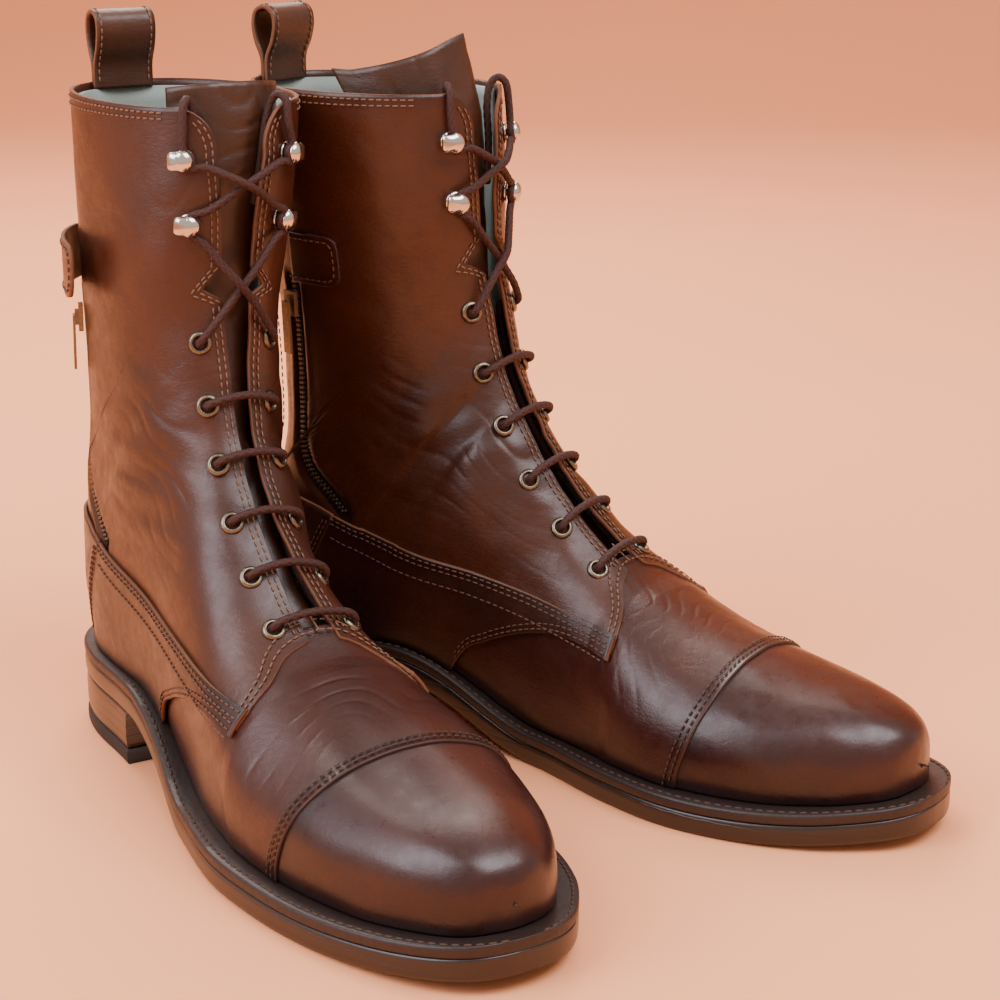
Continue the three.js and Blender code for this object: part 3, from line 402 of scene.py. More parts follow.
def add_node(tree, kind, settings=None, inputs=None):
    """One node with its settings and its inputs, which are numbers or sockets to link."""
    node = tree.nodes.new("ShaderNode" + kind)
    for key, value in (settings or {}).items():
        setattr(node, key, value)
    for key, value in (inputs or {}).items():
        if isinstance(value, bpy.types.NodeSocket):
            tree.links.new(value, node.inputs[key])
        else:
            node.inputs[key].default_value = value
    return node


def new_material(name):
    """An empty node material and its tree."""
    material = bpy.data.materials.new(name)
    material.use_nodes = True
    material.node_tree.nodes.clear()
    return material, material.node_tree


def finish_material(tree, settings):
    """The principled shader with its settings, joined to the output of the material."""
    surface = add_node(tree, "BsdfPrincipled", None, settings).outputs[0]
    add_node(tree, "OutputMaterial", None, {"Surface": surface})


# Real sizes in millimetres. Pores are 0.2 mm on calf and are drawn coarser so that they show.
PORE, FOLD, SCUFF, CLOUD = 0.952, 4.76, 5.88, 23.8


def leather(name, light, mid, dark, gloss=0.34, grain=0.9, coat=0.2):
    """Waxed calf: pores, folds of the grain, wax scuffs and pull-up clouds, each at the size in
    the list above. A point value (0 to 1) says how far the colour is darkened: dark wax rubbed in,
    and painted shade by the welt, round the ankle and in shadow lines at seams."""
    material, tree = new_material(name)
    here = add_node(tree, "TexCoord").outputs["Object"]
    # point value of darkening: dark wax, and painted shade by the welt, at the ankle and along
    # seams
    wax_and_shade = add_node(tree, "Attribute", {"attribute_name": "wax_and_shade"}).outputs["Fac"]
    cloud = add_node(tree, "TexNoise", None,
                     {"Vector": here, "Scale": 1000 / CLOUD, "Detail": 4.0, "Roughness": 0.6,
                      "Distortion": 0.4})
    scuff = add_node(tree, "TexNoise", None,
                     {"Vector": here, "Scale": 1000 / SCUFF, "Detail": 5.0, "Roughness": 0.65})
    pores = add_node(tree, "TexVoronoi", {"feature": "DISTANCE_TO_EDGE"},
                     {"Vector": here, "Scale": 1000 / PORE})
    flat = add_node(tree, "Mapping", None, {"Vector": here, "Scale": (1, 1, 2.2)}).outputs[0]
    folds = add_node(tree, "TexVoronoi", {"feature": "DISTANCE_TO_EDGE"},
                     {"Vector": flat, "Scale": 1000 / FOLD})
    tone = add_node(tree, "Math", {"operation": "MULTIPLY_ADD", "use_clamp": True},
                    {0: cloud.outputs["Fac"], 1: 1.5, 2: -0.28})
    base = add_node(tree, "Mix", {"data_type": "RGBA"},
                    {0: tone.outputs[0], 6: linear(mid), 7: linear(light)})
    patchy = add_node(tree, "Math", {"operation": "MULTIPLY_ADD", "use_clamp": True},
                      {0: scuff.outputs["Fac"], 1: 0.5, 2: -0.25})
    rubbed = add_node(tree, "Math", {"operation": "ADD", "use_clamp": True},
                      {0: wax_and_shade, 1: patchy.outputs[0]})
    dyed = add_node(tree, "Mix", {"data_type": "RGBA"},
                    {0: rubbed.outputs[0], 6: base.outputs[2], 7: linear(dark)})
    crack = add_node(tree, "MapRange", None,
                     {0: folds.outputs["Distance"], 1: 0.0, 2: 0.06, 3: 0.72, 4: 1.0})
    colour = add_node(tree, "Mix", {"data_type": "RGBA", "blend_type": "MULTIPLY"},
                      {0: 0.55, 6: dyed.outputs[2], 7: crack.outputs[0]})
    height = add_node(tree, "Math", {"operation": "MULTIPLY_ADD"},
                      {0: pores.outputs["Distance"], 1: 0.5, 2: scuff.outputs["Fac"]})
    height2 = add_node(tree, "Math", {"operation": "MULTIPLY_ADD"},
                       {0: folds.outputs["Distance"], 1: 0.55, 2: height.outputs[0]})
    bump = add_node(tree, "Bump", None,
                    {"Strength": 0.32 * grain, "Distance": 0.0006, "Height": height2.outputs[0]})
    rough = add_node(tree, "MapRange", None,
                     {0: scuff.outputs["Fac"], 1: 0.3, 2: 0.75, 3: gloss - 0.07, 4: gloss + 0.15})
    finish_material(tree, {
        "Base Color": colour.outputs[2], "Roughness": rough.outputs[0], "Normal": bump.outputs[0],
        "IOR": 1.42, "Coat Weight": coat, "Coat Roughness": 0.3})
    return material


print("pore, fold, scuff and cloud, in mm:", PORE, FOLD, SCUFF, CLOUD)

# %% [markdown]
# Cut edges of leather stay raw: a thin orange-tan line. Thread, lace, tape, metal and rubber
# are plain materials with a small pattern at the real size of their thread, braid or wear.


# %% Small finishes
def plain(name, colour, second, roughness, size_mm, bump=0.3, metallic=0.0, settings=None):
    """Two close colours in a noise of the given size, with the same noise as relief."""
    material, tree = new_material(name)
    here = add_node(tree, "TexCoord").outputs["Object"]
    noise = add_node(tree, "TexNoise", None,
                     {"Vector": here, "Scale": 1000.0 / size_mm, "Detail": 4.0, "Roughness": 0.6})
    mix = add_node(tree, "Mix", {"data_type": "RGBA"},
                   {0: noise.outputs["Fac"], 6: linear(colour), 7: linear(second)})
    relief = add_node(tree, "Bump", None,
                      {"Strength": bump, "Distance": 0.0003, "Height": noise.outputs["Fac"]})
    rough = add_node(tree, "MapRange", None,
                     {0: noise.outputs["Fac"], 1: 0.3, 2: 0.7, 3: max(roughness - 0.06, 0.03),
                      4: roughness + 0.08})
    values = {"Base Color": mix.outputs[2], "Roughness": rough.outputs[0], "Metallic": metallic,
              "Normal": relief.outputs[0]}
    values.update(settings or {})
    finish_material(tree, values)
    return material


def layered(name, colour, line, pitch_mm, roughness, coat):
    """Edge of built-up sole leather: thin level lines, worked out from the height in each layer."""
    material, tree = new_material(name)
    here = add_node(tree, "TexCoord").outputs["Object"]
    height = add_node(tree, "SeparateXYZ", None, {0: here}).outputs[2]
    noise = add_node(tree, "TexNoise", None, {"Vector": here, "Scale": 260.0, "Detail": 4.0})
    wavy = add_node(tree, "Math", {"operation": "MULTIPLY_ADD"},
                    {0: noise.outputs["Fac"], 1: 0.0011, 2: height})
    cycle = add_node(tree, "Math", {"operation": "PINGPONG"},
                     {0: wavy.outputs[0], 1: pitch_mm / 2000})
    mark = add_node(tree, "MapRange", None,
                    {0: cycle.outputs[0], 1: 0.0, 2: 0.00035, 3: 0.0, 4: 1.0})
    mix = add_node(tree, "Mix", {"data_type": "RGBA"},
                   {0: mark.outputs[0], 6: linear(line), 7: linear(colour)})
    cloud = add_node(tree, "Mix", {"data_type": "RGBA", "blend_type": "MULTIPLY"},
                     {0: 0.5, 6: mix.outputs[2], 7: noise.outputs["Color"]})
    relief = add_node(tree, "Bump", None,
                      {"Strength": 0.5, "Distance": 0.0003, "Height": mark.outputs[0]})
    finish_material(tree, {"Base Color": cloud.outputs[2], "Roughness": roughness, "IOR": 1.5,
                                   "Normal": relief.outputs[0], "Coat Weight": coat,
                           "Coat Roughness": 0.3})
    return material


cap_calf = leather("waxed_calf_toe_cap", "#3a1510", "#280e0c", "#120506",
                   gloss=0.30, grain=0.5, coat=0.3)
vamp_calf = leather("waxed_calf_vamp", "#401910", "#2d110d", "#150707", gloss=0.34, coat=0.3)
quarter_calf = leather("waxed_calf_quarter", "#4a220d", "#36170b", "#1c0a07", gloss=0.38, coat=0.25)
foxing_calf = leather("waxed_calf_foxing", "#3d1a0e", "#2b110a", "#150706", gloss=0.37, coat=0.25)
tongue_calf = leather("waxed_calf_tongue", "#442716", "#311a0f", "#1a0c08", gloss=0.38)
strap_calf = leather("waxed_calf_strap", "#522c16", "#3c1f10", "#200e09", gloss=0.42)
lining_calf = plain("grey_green_lining_leather", "#7d8a84", "#909c95", 0.62, 1.5, 0.35)
cut_edge = plain("raw_cut_leather_edge", "#7d4c2d", "#5f3722", 0.8, 0.8, 0.6)
dark_edge = plain("dyed_leather_edge", "#2c1510", "#3a1e15", 0.6, 1.0, 0.5)
tan_thread = plain("waxed_tan_thread", "#7d5b41", "#664530", 0.62, 0.6, 0.6)
brown_thread = plain("waxed_brown_thread", "#62412f", "#4a2d20", 0.6, 0.6, 0.6)
welt_thread = plain("dark_welt_thread", "#4a3022", "#38221a", 0.7, 0.7, 0.6)
welt_leather = plain("waxed_welt_leather", "#24120c", "#150a07", 0.55, 2.2, 0.7,
                     settings={"Coat Weight": 0.15})
sole_edge = layered("burnished_sole_edge", "#1f100c", "#0f0705", 7.4, 0.36, 0.35)
heel_stack = layered("stacked_heel_leather", "#23130d", "#100705", 3.9, 0.36, 0.35)
heel_rubber = plain("black_brown_heel_rubber", "#191412", "#221b18", 0.75, 1.2, 0.4)
insole_leather = plain("undyed_insole_leather", "#b28d67", "#a17b56", 0.75, 1.6, 0.4)
fibre_board = plain("pressed_fibre_board", "#9b8468", "#8a7459", 0.85, 1.0, 0.5)
shank_steel = plain("spring_steel", "#8f9296", "#7c8084", 0.35, 0.8, 0.2, 1.0)
nickel = plain("polished_nickel", "#dad7d0", "#c4c0b8", 0.13, 3.0, 0.04, 1.0)
old_nickel = plain("antique_nickel", "#8d8271", "#5f5546", 0.32, 1.2, 0.3, 1.0)
zip_metal = plain("oxidised_zip_metal", "#6e6558", "#4a4238", 0.35, 0.8, 0.2, 1.0)
zip_tape = plain("woven_zip_tape", "#241a17", "#17100e", 0.85, 0.5, 0.8)


def braided_cord():
    """Round braid of waxed cotton. The strands are drawn in the mesh; the yarn's own twist of
    0.4 mm is relief from the cord's UV, which runs along it in millimetres. The valleys between
    the strands are painted darker: painted shade."""
    material, tree = new_material("braided_waxed_cotton")
    uv = add_node(tree, "UVMap", {"uv_map": "UVMap"}).outputs[0]
    # point value of the valleys between strands, painted darker: painted shade
    depth = add_node(tree, "Attribute", {"attribute_name": "valley_shade"}).outputs["Fac"]
    noise = add_node(tree, "TexNoise", None, {"Vector": uv, "Scale": 1.6, "Detail": 3.0})
    yarn = add_node(tree, "TexWave", {"wave_type": "BANDS", "bands_direction": "DIAGONAL"},
                    {"Vector": uv, "Scale": 0.8, "Distortion": 0.8})
    shade = add_node(tree, "Mix", {"data_type": "RGBA"},
                     {0: noise.outputs["Fac"], 6: linear("#2a0f0a"), 7: linear("#4a1d12")})
    colour = add_node(tree, "Mix", {"data_type": "RGBA"},
                      {0: depth, 6: shade.outputs[2], 7: linear("#1b0a07")})
    relief = add_node(tree, "Bump", None,
                      {"Strength": 0.5, "Distance": 0.0002, "Height": yarn.outputs["Fac"]})
    finish_material(tree, {"Base Color": colour.outputs[2], "Roughness": 0.72,
                                   "Normal": relief.outputs[0]})
    return material


lace_cord = braided_cord()
print("finishes:", len(bpy.data.materials))

# %% [markdown]
# ## Seams
# The edge of each panel is a curve seen from the side of the boot, in y and z. Stitches follow
# the same curves, moved in from the edge.

# %% Seam curves, in side view
CAP_SEAM = np.array([
    [219.5, 8], [221.5, 18], [224.5, 28], [227.5, 38], [230, 47], [231.5, 55], [232.5, 70]])
FACING_FRONT = np.array([
    [166, 92], [171, 81], [176, 73.8], [181.5, 67.6], [184.2, 60], [184.2, 53]])
FOXING_TOP = np.array([
    [53.4, 82.8], [75, 78], [98, 73.8], [118, 70.5], [140, 66.5], [165, 62], [184, 59.6]])
FOXING_LOW = np.array([
    [184, 51], [170, 53], [155, 53.3], [140, 50], [124, 43.5], [113, 37], [106, 27]])
COUNTER_FRONT = np.array([[26.5, 30], [31, 44], [40.5, 62], [52.6, 83]])
ZIP_LINE = np.array([[57.5, 84], [49.5, 91], [40.5, 99], [36, 108], [34.6, 120], [34.8, 140],
                     [35, 160], [35, 177]])


def cap_y(z):
    """The cap seam as y for a height."""
    return smooth_curve(CAP_SEAM[:, 1], CAP_SEAM[:, 0], z)


def facing_y(z):
    """Front edge of the facings as y for a height."""
    return smooth_curve(FACING_FRONT[::-1, 1], FACING_FRONT[::-1, 0], z)


def counter_y(z):
    """Front edge of the heel counter as y for a height."""
    return smooth_curve(COUNTER_FRONT[:, 1], COUNTER_FRONT[:, 0], z)


def foxing_top(y):
    """Upper edge of the foxing as a height, carried on round the top of the counter."""
    ys = np.concatenate([[-10, 10, 30, 46], FOXING_TOP[:, 0]])
    zs = np.concatenate([[89.5, 89.2, 88, 85], FOXING_TOP[:, 1]])
    return smooth_curve(ys, zs, y)


def foxing_low(y):
    """Lower edge of the foxing as a height: the arch over the vamp wing, then the welt."""
    arch = smooth_curve(FOXING_LOW[::-1, 0], FOXING_LOW[::-1, 1], np.maximum(y, 106))
    return np.where(y < 106, seat_height(y), arch)


def facing_edge(boot, s, side):
    """Distance of a facing's edge from the lacing line: a margin inside the eyelets, a V-shaped
    notch above them and a round corner at the top."""
    margin = np.interp(s, [9, 17, 20, 21.7], [9.8, 9.8, 11.6, 10.8])
    edge = np.interp(s, FASTENER_ROW, FASTENER_X[boot][side]) - margin
    notch = 13.5 - np.sqrt(((s - 18.45) * 17)**2 + 0.8)
    corner = smooth_curve([21.5, 22, 22.4, 22.7, 22.9, 23.05, 23.2], [0, 0, 1.5, 4, 7.5, 14, 20], s)
    return np.maximum(edge, notch) + np.where(s > 21.5, corner, 0)


print("height of the foxing at its two ends:", foxing_top(np.array([53.4, 184.0])).round(1))

# %% [markdown]
# ## Trimming a panel
# A panel that ends at a curve is trimmed row by row: along each section the first and the last
# share that lie inside the panel are found, and the row's points are spread between them. The
# edge is then exactly on the curve, with no steps in it.


# %% Trimmed panels
def row_limits(inside, rows, fine=500):
    """First and last share where the function is positive, with straight-line interpolation
    between samples; inside(s, t) is positive inside the panel."""
    s, t = np.meshgrid(rows, np.linspace(0, 1, fine), indexing="ij")
    v = inside(s, t)
    ok = v > 0
    ok[:, 0] |= ~ok.any(1)
    first = ok.argmax(1)
    last = fine - 1 - ok[:, ::-1].argmax(1)
    i = np.arange(len(rows))

    def crossing(a, b):
        va, vb = v[i, a], v[i, b]
        share = np.where((va <= 0) & (vb > 0), va / np.minimum(va - vb, -1e-9), 1.0)
        return t[i, a] + (t[i, b] - t[i, a]) * share
    t0 = crossing(np.maximum(first - 1, 0), first)
    t1 = crossing(np.minimum(last + 1, fine - 1), last)
    return np.where(first == 0, 0.0, t0), np.where(last == fine - 1, 1.0, t1)


def row_crossing(height_of, shares, side, boot, s_low, s_high, fine=260):
    """For each share t, the section where height_of(y, z) first goes from positive to negative."""
    s, t = np.meshgrid(np.linspace(s_low, s_high, fine), shares, indexing="ij")
    p = last_point(boot, s, t, side)
    v = height_of(p[..., 1], p[..., 2])
    k = np.clip((v <= 0).argmax(0), 1, fine - 1)
    j = np.arange(len(shares))
    va, vb = v[k - 1, j], v[k, j]
    share = np.clip(va / np.where(va == vb, 1, va - vb), 0, 1)
    return s[k - 1, j] + (s[k, j] - s[k - 1, j]) * share


def form(boot, p):
    """Wear of the leather, as a small height in millimetres: soft dents all over, bending
    creases across the vamp, and slanting folds round the ankle."""
    y, z = p[..., 1], p[..., 2]
    seed = 11 if boot == "r" else 37
    soft = 0.35 * waves(p, 46, seed) + 0.12 * waves(p, 17, seed + 3)
    flex = hill(y, 196, 17) * np.clip((z - 34) / 14, 0, 1) * (z < 90)
    vamp = 0.34 * flex * creases(p, (0.12, 1, 0.25), 6.2, seed + 5, 7)
    ankle = hill(z, 122, 34) * np.clip((y - 45) / 30, 0, 1)
    folds = 0.5 * ankle * creases(p, (0.05, 0.42, 0.9), 7.5, seed + 9, 5)
    folds += 0.5 * ankle * waves(p * [1, 1, 1.8], 22, seed + 14)
    leg = 0.3 * hill(z, 205, 40) * creases(p, (0.1, 0.25, 1), 17, seed + 21, 12)
    return soft + vamp + folds + leg


def wax_and_shade_of(p, extra=0.0):
    """Share of darkening, less up the leg: painted shade with some wax low on the upper by the
    welt, wax toward the toe, painted shade round the ankle, and soft random clouds.
    """
    y, z = p[..., 1], p[..., 2]
    # painted shade where the upper meets the welt, with some wax
    low = np.clip(1 - (z - seat_height(np.clip(y, 0, 305))) / 22, 0, 1)**2
    toe = np.clip((y - 262) / 40, 0, 1)**1.4
    # painted shade round the ankle, where the leg creases
    ankle = 0.3 * hill(z, 118, 40) * np.clip(y / 90, 0, 1)
    cloud = 0.22 * waves(p, 60, 5)
    return np.clip(0.6 * low + 0.55 * toe + ankle + cloud + extra, 0, 1)


def sheet_grid(boot, side, s, t, offset, wear=1.0):
    """Points, outward directions and distances for a grid of sections and shares."""
    n = last_normal(boot, s, t, side)
    p = last_point(boot, s, t, side)
    p = p + n * (np.asarray(offset, float) + wear * form(boot, p))[..., None]
    return p, n


def outward_in_frame(n, boot):
    """Outward directions of a boot's points, as directions in the shared frame."""
    zero = place(np.zeros(3), boot)
    return place(n, boot) - zero


print("helpers for trimmed panels defined")

# %% [markdown]
# ## The toe cap and the vamp
# Both are one piece of leather wrapped over the foot, so each is one grid from the inner welt,
# over the top, to the outer welt. The rows run from the toe back. The vamp's front edge is
# folded under and sewn over the cap, so it stands a little higher there.


# %% Pieces that wrap from welt to welt
def ease(u):
    """Rows closer together near the start: u^1.4."""
    return np.asarray(u, float)**1.4


def wrap_grids(boot, cols, rows, limits, offset_of, curve=lambda u: u):
    """Both sides of a wrap, joined on the lacing line: points and outward directions. The rows
    of each share run between its two limits, section = first + (last - first) * curve(u)."""
    t = np.linspace(0, 1, cols)
    out = []
    for side in (1, 0):
        s0, s1 = limits(t, side)
        u = np.linspace(0, 1, rows)[:, None]
        s = s0 + (s1 - s0) * curve(u)
        tt = np.broadcast_to(t, s.shape)
        p, n = sheet_grid(boot, side, s, tt, offset_of(last_point(boot, s, tt, side)))
        order = slice(None, 0, -1) if side == 1 else slice(None)
        out.append((p[:, order], n[:, order]))
    return tuple(np.concatenate([a, b], 1) for a, b in zip(*out))


def cap_end(t, side, boot):
    """Section where the cap seam crosses each share."""
    return row_crossing(lambda y, z: y - cap_y(z), t, side, boot, 0.2, 9)


def add_panel(name, boot, p, n, materials, solid, extra=0.0, merge=False):
    """One leather panel on the fixed body, with its wax and painted shade, and a UV in millimetres:
    the mean distance along the rows and along the columns."""
    step = np.linalg.norm(np.diff(p, axis=1), axis=-1).mean(0)
    rise = np.linalg.norm(np.diff(p, axis=0), axis=-1).mean(1)
    u, v = np.concatenate([[0], np.cumsum(step)]), np.concatenate([[0], np.cumsum(rise)])
    uv = np.stack(np.meshgrid(v, u, indexing="ij"), -1)
    return make_piece(name, "boots", place(p, boot), grid_faces(*p.shape[:2]), materials,
                      outward_in_frame(n, boot), {"wax_and_shade": wax_and_shade_of(p, extra)}, uv, solid, merge=merge)


# Visible faces of the layers, in millimetres out from the last.
CAP_FACE, QUARTER_FACE, FOXING_FACE, BACK_FACE = -2.2, -1.5, 0.1, 0.15
TONGUE_FACE, LINING_FACE, TAPE_FACE, STRAP_FACE = -9.2, -3.6, -2.6, 2.0
print("outer faces above the last, in mm:", CAP_FACE, QUARTER_FACE, FOXING_FACE, BACK_FACE)

# %% Toe cap and vamp
def make_cap(boot):
    """The toe cap: 80 rows from the tip of the toe to the seam, drawn darker toward the sides, and
    with a painted shadow of the vamp's edge along the seam.
    """
    p, n = wrap_grids(boot, 90, 80, lambda t, k: (0 * t, cap_end(t, k, boot) + 0.12),
                      lambda q: CAP_FACE + 0 * q[..., 0], ease)
    ahead = np.clip(p[..., 1] - cap_y(p[..., 2]), 0, 90)
    # darker toward the sides, and a painted shadow within a few mm ahead of the seam
    wax_and_shade = 0.55 * np.clip((np.abs(p[..., 0]) - 12) / 30, 0, 1) + 0.5 * np.exp(-ahead / 3)
    cap = add_panel(f"toe_cap_leather_{boot}", boot, p, n, [cap_calf, cut_edge],
                    1.2, wax_and_shade - 0.25, True)
    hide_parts(f"toe_cap_{boot}")


def vamp_back(z):
    """Where the vamp ends under the quarters: y for a height."""
    heights = [20, 30, 42, 50, 54, 58, 64, 70, 76, 90]
    return np.interp(z, heights, [90, 94, 100, 112, 130, 150, 165, 168, 170, 165])


def vamp_face(q):
    """Height = -1.75, plus 0.55 fading over 1.6 mm behind the folded front edge, less 0.7 where
    the vamp is pressed down below the quarters."""
    behind = np.clip(cap_y(q[..., 2]) - q[..., 1], 0, None)
    under = np.clip((188 - q[..., 1]) / 6, 0, 1)
    return -1.75 + 0.55 * np.exp(-behind / 1.6) - 0.7 * under


def make_vamp(boot):
    """The vamp: 150 rows from the cap seam to the line where it ends under the quarters."""
    p, n = wrap_grids(boot, 90, 150, lambda t, k: (
        cap_end(t, k, boot), row_crossing(lambda y, z: y - vamp_back(z), t, k, boot, 3, 18)),
        vamp_face)
    behind = cap_y(p[..., 2]) - p[..., 1]
    near = 0.55 * np.exp(-np.abs(behind - 3.4) / 2.2)
    vamp = add_panel(f"vamp_leather_{boot}", boot, p, n, [vamp_calf, dark_edge], 1.3, near)
    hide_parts(f"vamp_{boot}")


for make in (make_cap, make_vamp):
    for boot in BOOTS:
        make(boot)
print("caps and vamps made")

# %% [markdown]
# ## The quarters
# A quarter is the tall side panel. It starts in front as the facing that carries the eyelets
# and hooks, and ends at the back seam. The zip is set into it: the leather dips there.

# %% Where a quarter ends
def facing_gap(boot, s, t, side):
    """How far, in millimetres, a point is behind the edge of the facing."""
    _, _, _, _, w, rf, _, turn = section(s, side)
    a = t * turn
    x = w * np.sin(np.minimum(a, np.pi / 2))**rf
    return np.where(a < np.pi / 2, x - facing_edge(boot, s, side), 60)


def zip_curve(u):
    """Side-view points along the zip: the smooth curve through its table by height."""
    z = ZIP_LINE[0, 1] + (ZIP_LINE[-1, 1] - ZIP_LINE[0, 1]) * np.asarray(u, float)
    return np.stack([smooth_curve(ZIP_LINE[:, 1], ZIP_LINE[:, 0], z), z], -1)


def zip_distance(y, z):
    """Distance from the zip line in side view: the least distance to 90 points on the line."""
    line = zip_curve(np.linspace(0, 1, 90))
    d = np.hypot(y[..., None] - line[:, 0], z[..., None] - line[:, 1])
    return d.min(-1)


def quarter_inside(boot, side):
    """Positive inside the quarter: behind the facing edge, behind its front, above the foxing."""
    def inside(s, t):
        p = last_point(boot, s, t, side)
        return np.minimum(np.minimum(facing_gap(boot, s, t, side), facing_y(p[..., 2]) - p[..., 1]),
                          p[..., 2] - foxing_top(p[..., 1]) + 6)
    return inside


print("lower and upper end of the zip:", zip_curve(np.array([0.0, 1.0])))

# %% Quarters
def make_quarters(boot):
    """Both quarters: 200 rows from the front corner to the top edge, trimmed to the panel."""
    for side, word in enumerate(SIDES):
        inside = quarter_inside(boot, side)
        look = np.linspace(8.0, 9.0, 60)
        t0, t1 = row_limits(inside, look)
        first = look[np.flatnonzero(t1 - t0 > 0.02)[0]]
        rows = first + (23 - first) * np.linspace(0, 1, 200)**1.15
        t0, t1 = row_limits(inside, rows)
        u = np.linspace(0, 1, 120)**1.15
        t = t0[:, None] + (t1 - t0)[:, None] * u
        s = np.broadcast_to(rows[:, None], t.shape)
        q = last_point(boot, s, t, side)
        d, on_leg = zip_distance(q[..., 1], q[..., 2]), q[..., 2] > 80
        gap = facing_gap(boot, s, t, side)
        # a groove for the zip with raised lips beside it, and a thicker folded facing edge
        dip = -1.5 * np.clip((4.6 - d) / 1.8, 0, 1) * on_leg
        lip = 0.45 * hill(d, 5.6, 1.5) * on_leg
        edge = 0.25 * np.exp(-gap / 2)
        p, n = sheet_grid(boot, side, s, t, QUARTER_FACE + dip + lip + edge)
        near = (0.45 * np.exp(-gap / 5) + 0.7 * np.exp(-(d / 6)**2) * on_leg
                + 0.3 * np.clip((q[..., 2] - 247) / 6, 0, 1) - 0.08)
        quarter = add_panel(f"quarter_leather_{word}_{boot}", boot, p, n,
                            [quarter_calf, cut_edge], 1.5, near)
        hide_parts(f"quarter_{word}_{boot}")


for boot in BOOTS:
    make_quarters(boot)
print("quarters made")

# %% [markdown]
# ## Foxings and back panel
# The foxing covers the joint of vamp and quarter low on each side, and the back panel holds the
# heel. Their cut edges are left raw, which draws a thin tan line along the side of the boot.

# %% Foxings
def make_foxings(boot):
    """Both foxings, on a side-view grid. The height of a point depends on its y and its y on
    the slanted back edge, so the two are worked out in turn eight times."""
    for side, word in enumerate(SIDES):
        u, v = np.meshgrid(np.linspace(0, 1, 150), np.linspace(0, 1, 50), indexing="ij")
        z = 60 + 0 * u
        for _ in range(8):
            y0 = counter_y(z) + 0.3
            y = y0 + (184.2 - y0) * u
            low, top = foxing_low(y), foxing_top(y)
            z = low + (top - low) * v
        s, t = side_place(y, z, side)
        p, n = sheet_grid(boot, side, s, t, FOXING_FACE, 0.7)
        # painted shadow in a thin line under the top edge, darker toward the front end, and a
        # little darker all over
        near = 0.5 * np.exp(-(top - z) / 2.5) + 0.35 * np.exp(-(184.2 - y) / 4) + 0.15
        foxing = add_panel(f"foxing_leather_{word}_{boot}", boot, p, n,
                           [foxing_calf, cut_edge], 1.5, near)
        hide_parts(f"foxing_{word}_{boot}")


print("foxings described; they are made with the back panel")

# %% Back panel
def back_halves(boot, build):
    """Two halves that meet on the back seam, as one set of points, faces and directions. The
    inner half's columns are turned round, so that all the faces point the same way."""
    grids, outs = [], []
    for side in (0, 1):
        p, n = build(side)
        order = slice(None) if side == 0 else slice(None, None, -1)
        grids.append((p[:, order], grid_faces(*p.shape[:2])))
        outs.append(n[:, order].reshape(-1, 3))
    p, faces = merge_grids(grids)
    return p, faces, outward_in_frame(np.concatenate(outs), boot)


def make_back_panel(boot):
    """The heel counter and, above it, the strip of 8 mm each side of the back seam."""
    def half(side):
        rows = np.concatenate([np.linspace(13.45, 18, 60), np.linspace(18.03, 18.7, 36),
                               np.linspace(18.8, 23, 50)])

        def panel_inside(s, t):
            q = last_point(boot, s, t, side)
            heel = np.minimum(counter_y(q[..., 2]) - q[..., 1],
                              foxing_top(q[..., 1]) + 0.3 - q[..., 2])
            strip = np.where((s > 16.3) & (t > 0.6), 8 - np.abs(q[..., 0]), -1)
            return np.maximum(heel, strip)
        t0, _ = row_limits(panel_inside, rows)
        t = t0[:, None] + (1 - t0)[:, None] * np.linspace(0, 1, 40)
        s = np.broadcast_to(rows[:, None], t.shape)
        return sheet_grid(boot, side, s, t, BACK_FACE, 0.5)
    p, faces, out = back_halves(boot, half)
    near = 0.35 * np.exp(-np.clip(89 - p[:, 2], 0, 60) / 4) + 0.15
    panel = make_piece(f"back_panel_leather_{boot}", "boots", place(p, boot), faces,
                       [foxing_calf, cut_edge], out, {"wax_and_shade": wax_and_shade_of(p, near)}, None, 1.4,
                       merge=True)
    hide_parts(f"back_panel_{boot}")


for boot in BOOTS:
    make_foxings(boot)
    make_back_panel(boot)
print("foxings and back panels made")

# %% [markdown]
# ## Tongue and lining
# The tongue is a soft leather strip behind the laces; it wrinkles, and its top stands a little
# above the shaft. The lining is the thin grey-green leather that is seen in the opening.

# %% Tongue and lining
def make_tongue(boot):
    """A grid of 170 rows up and 60 columns across; the share of the section is negative on the
    inner side. Both top edges are shaped by the last section of each column."""
    u, v = np.meshgrid(np.linspace(0, 1, 170), np.linspace(-1, 1, 60), indexing="ij")
    # the left tongue has slipped round to the inner side, so its free corner stands up
    slip = np.clip((u - 0.72) / 0.28, 0, 1)**1.6 * (1 if boot == "l" else 0)
    share = 0.16 + 0.11 * np.clip(u / 0.3, 0, 1) - 0.02 * slip
    share = share * v - 0.235 * slip
    top = 23.42 - 0.12 * v**2 if boot == "r" else 23.35 + 0.62 * np.clip((v + 0.8) / 1.8, 0, 1)
    s = 7.7 + (top - 7.7) * u
    p, n = (np.where((share > 0)[..., None], a_, b_) for a_, b_ in zip(
        (last_point(boot, s, np.abs(share), 0), last_normal(boot, s, np.abs(share), 0)),
        (last_point(boot, s, np.abs(share), 1), last_normal(boot, s, np.abs(share), 1))))
    wrinkle = 0.8 * creases(p, (0.15, 0.3, 1), 19, 71, 14) + 0.6 * waves(p, 30, 73)
    lean = np.clip((s - 22.3) / 1.4, 0, 1) * (2.2 if boot == "l" else 0.8)
    p = p + n * (TONGUE_FACE + wrinkle - lean)[..., None]
    tongue = add_panel(f"tongue_leather_{boot}", boot, p, n, [tongue_calf, cut_edge], 1.5, -0.05)
    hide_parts(f"tongue_{boot}")


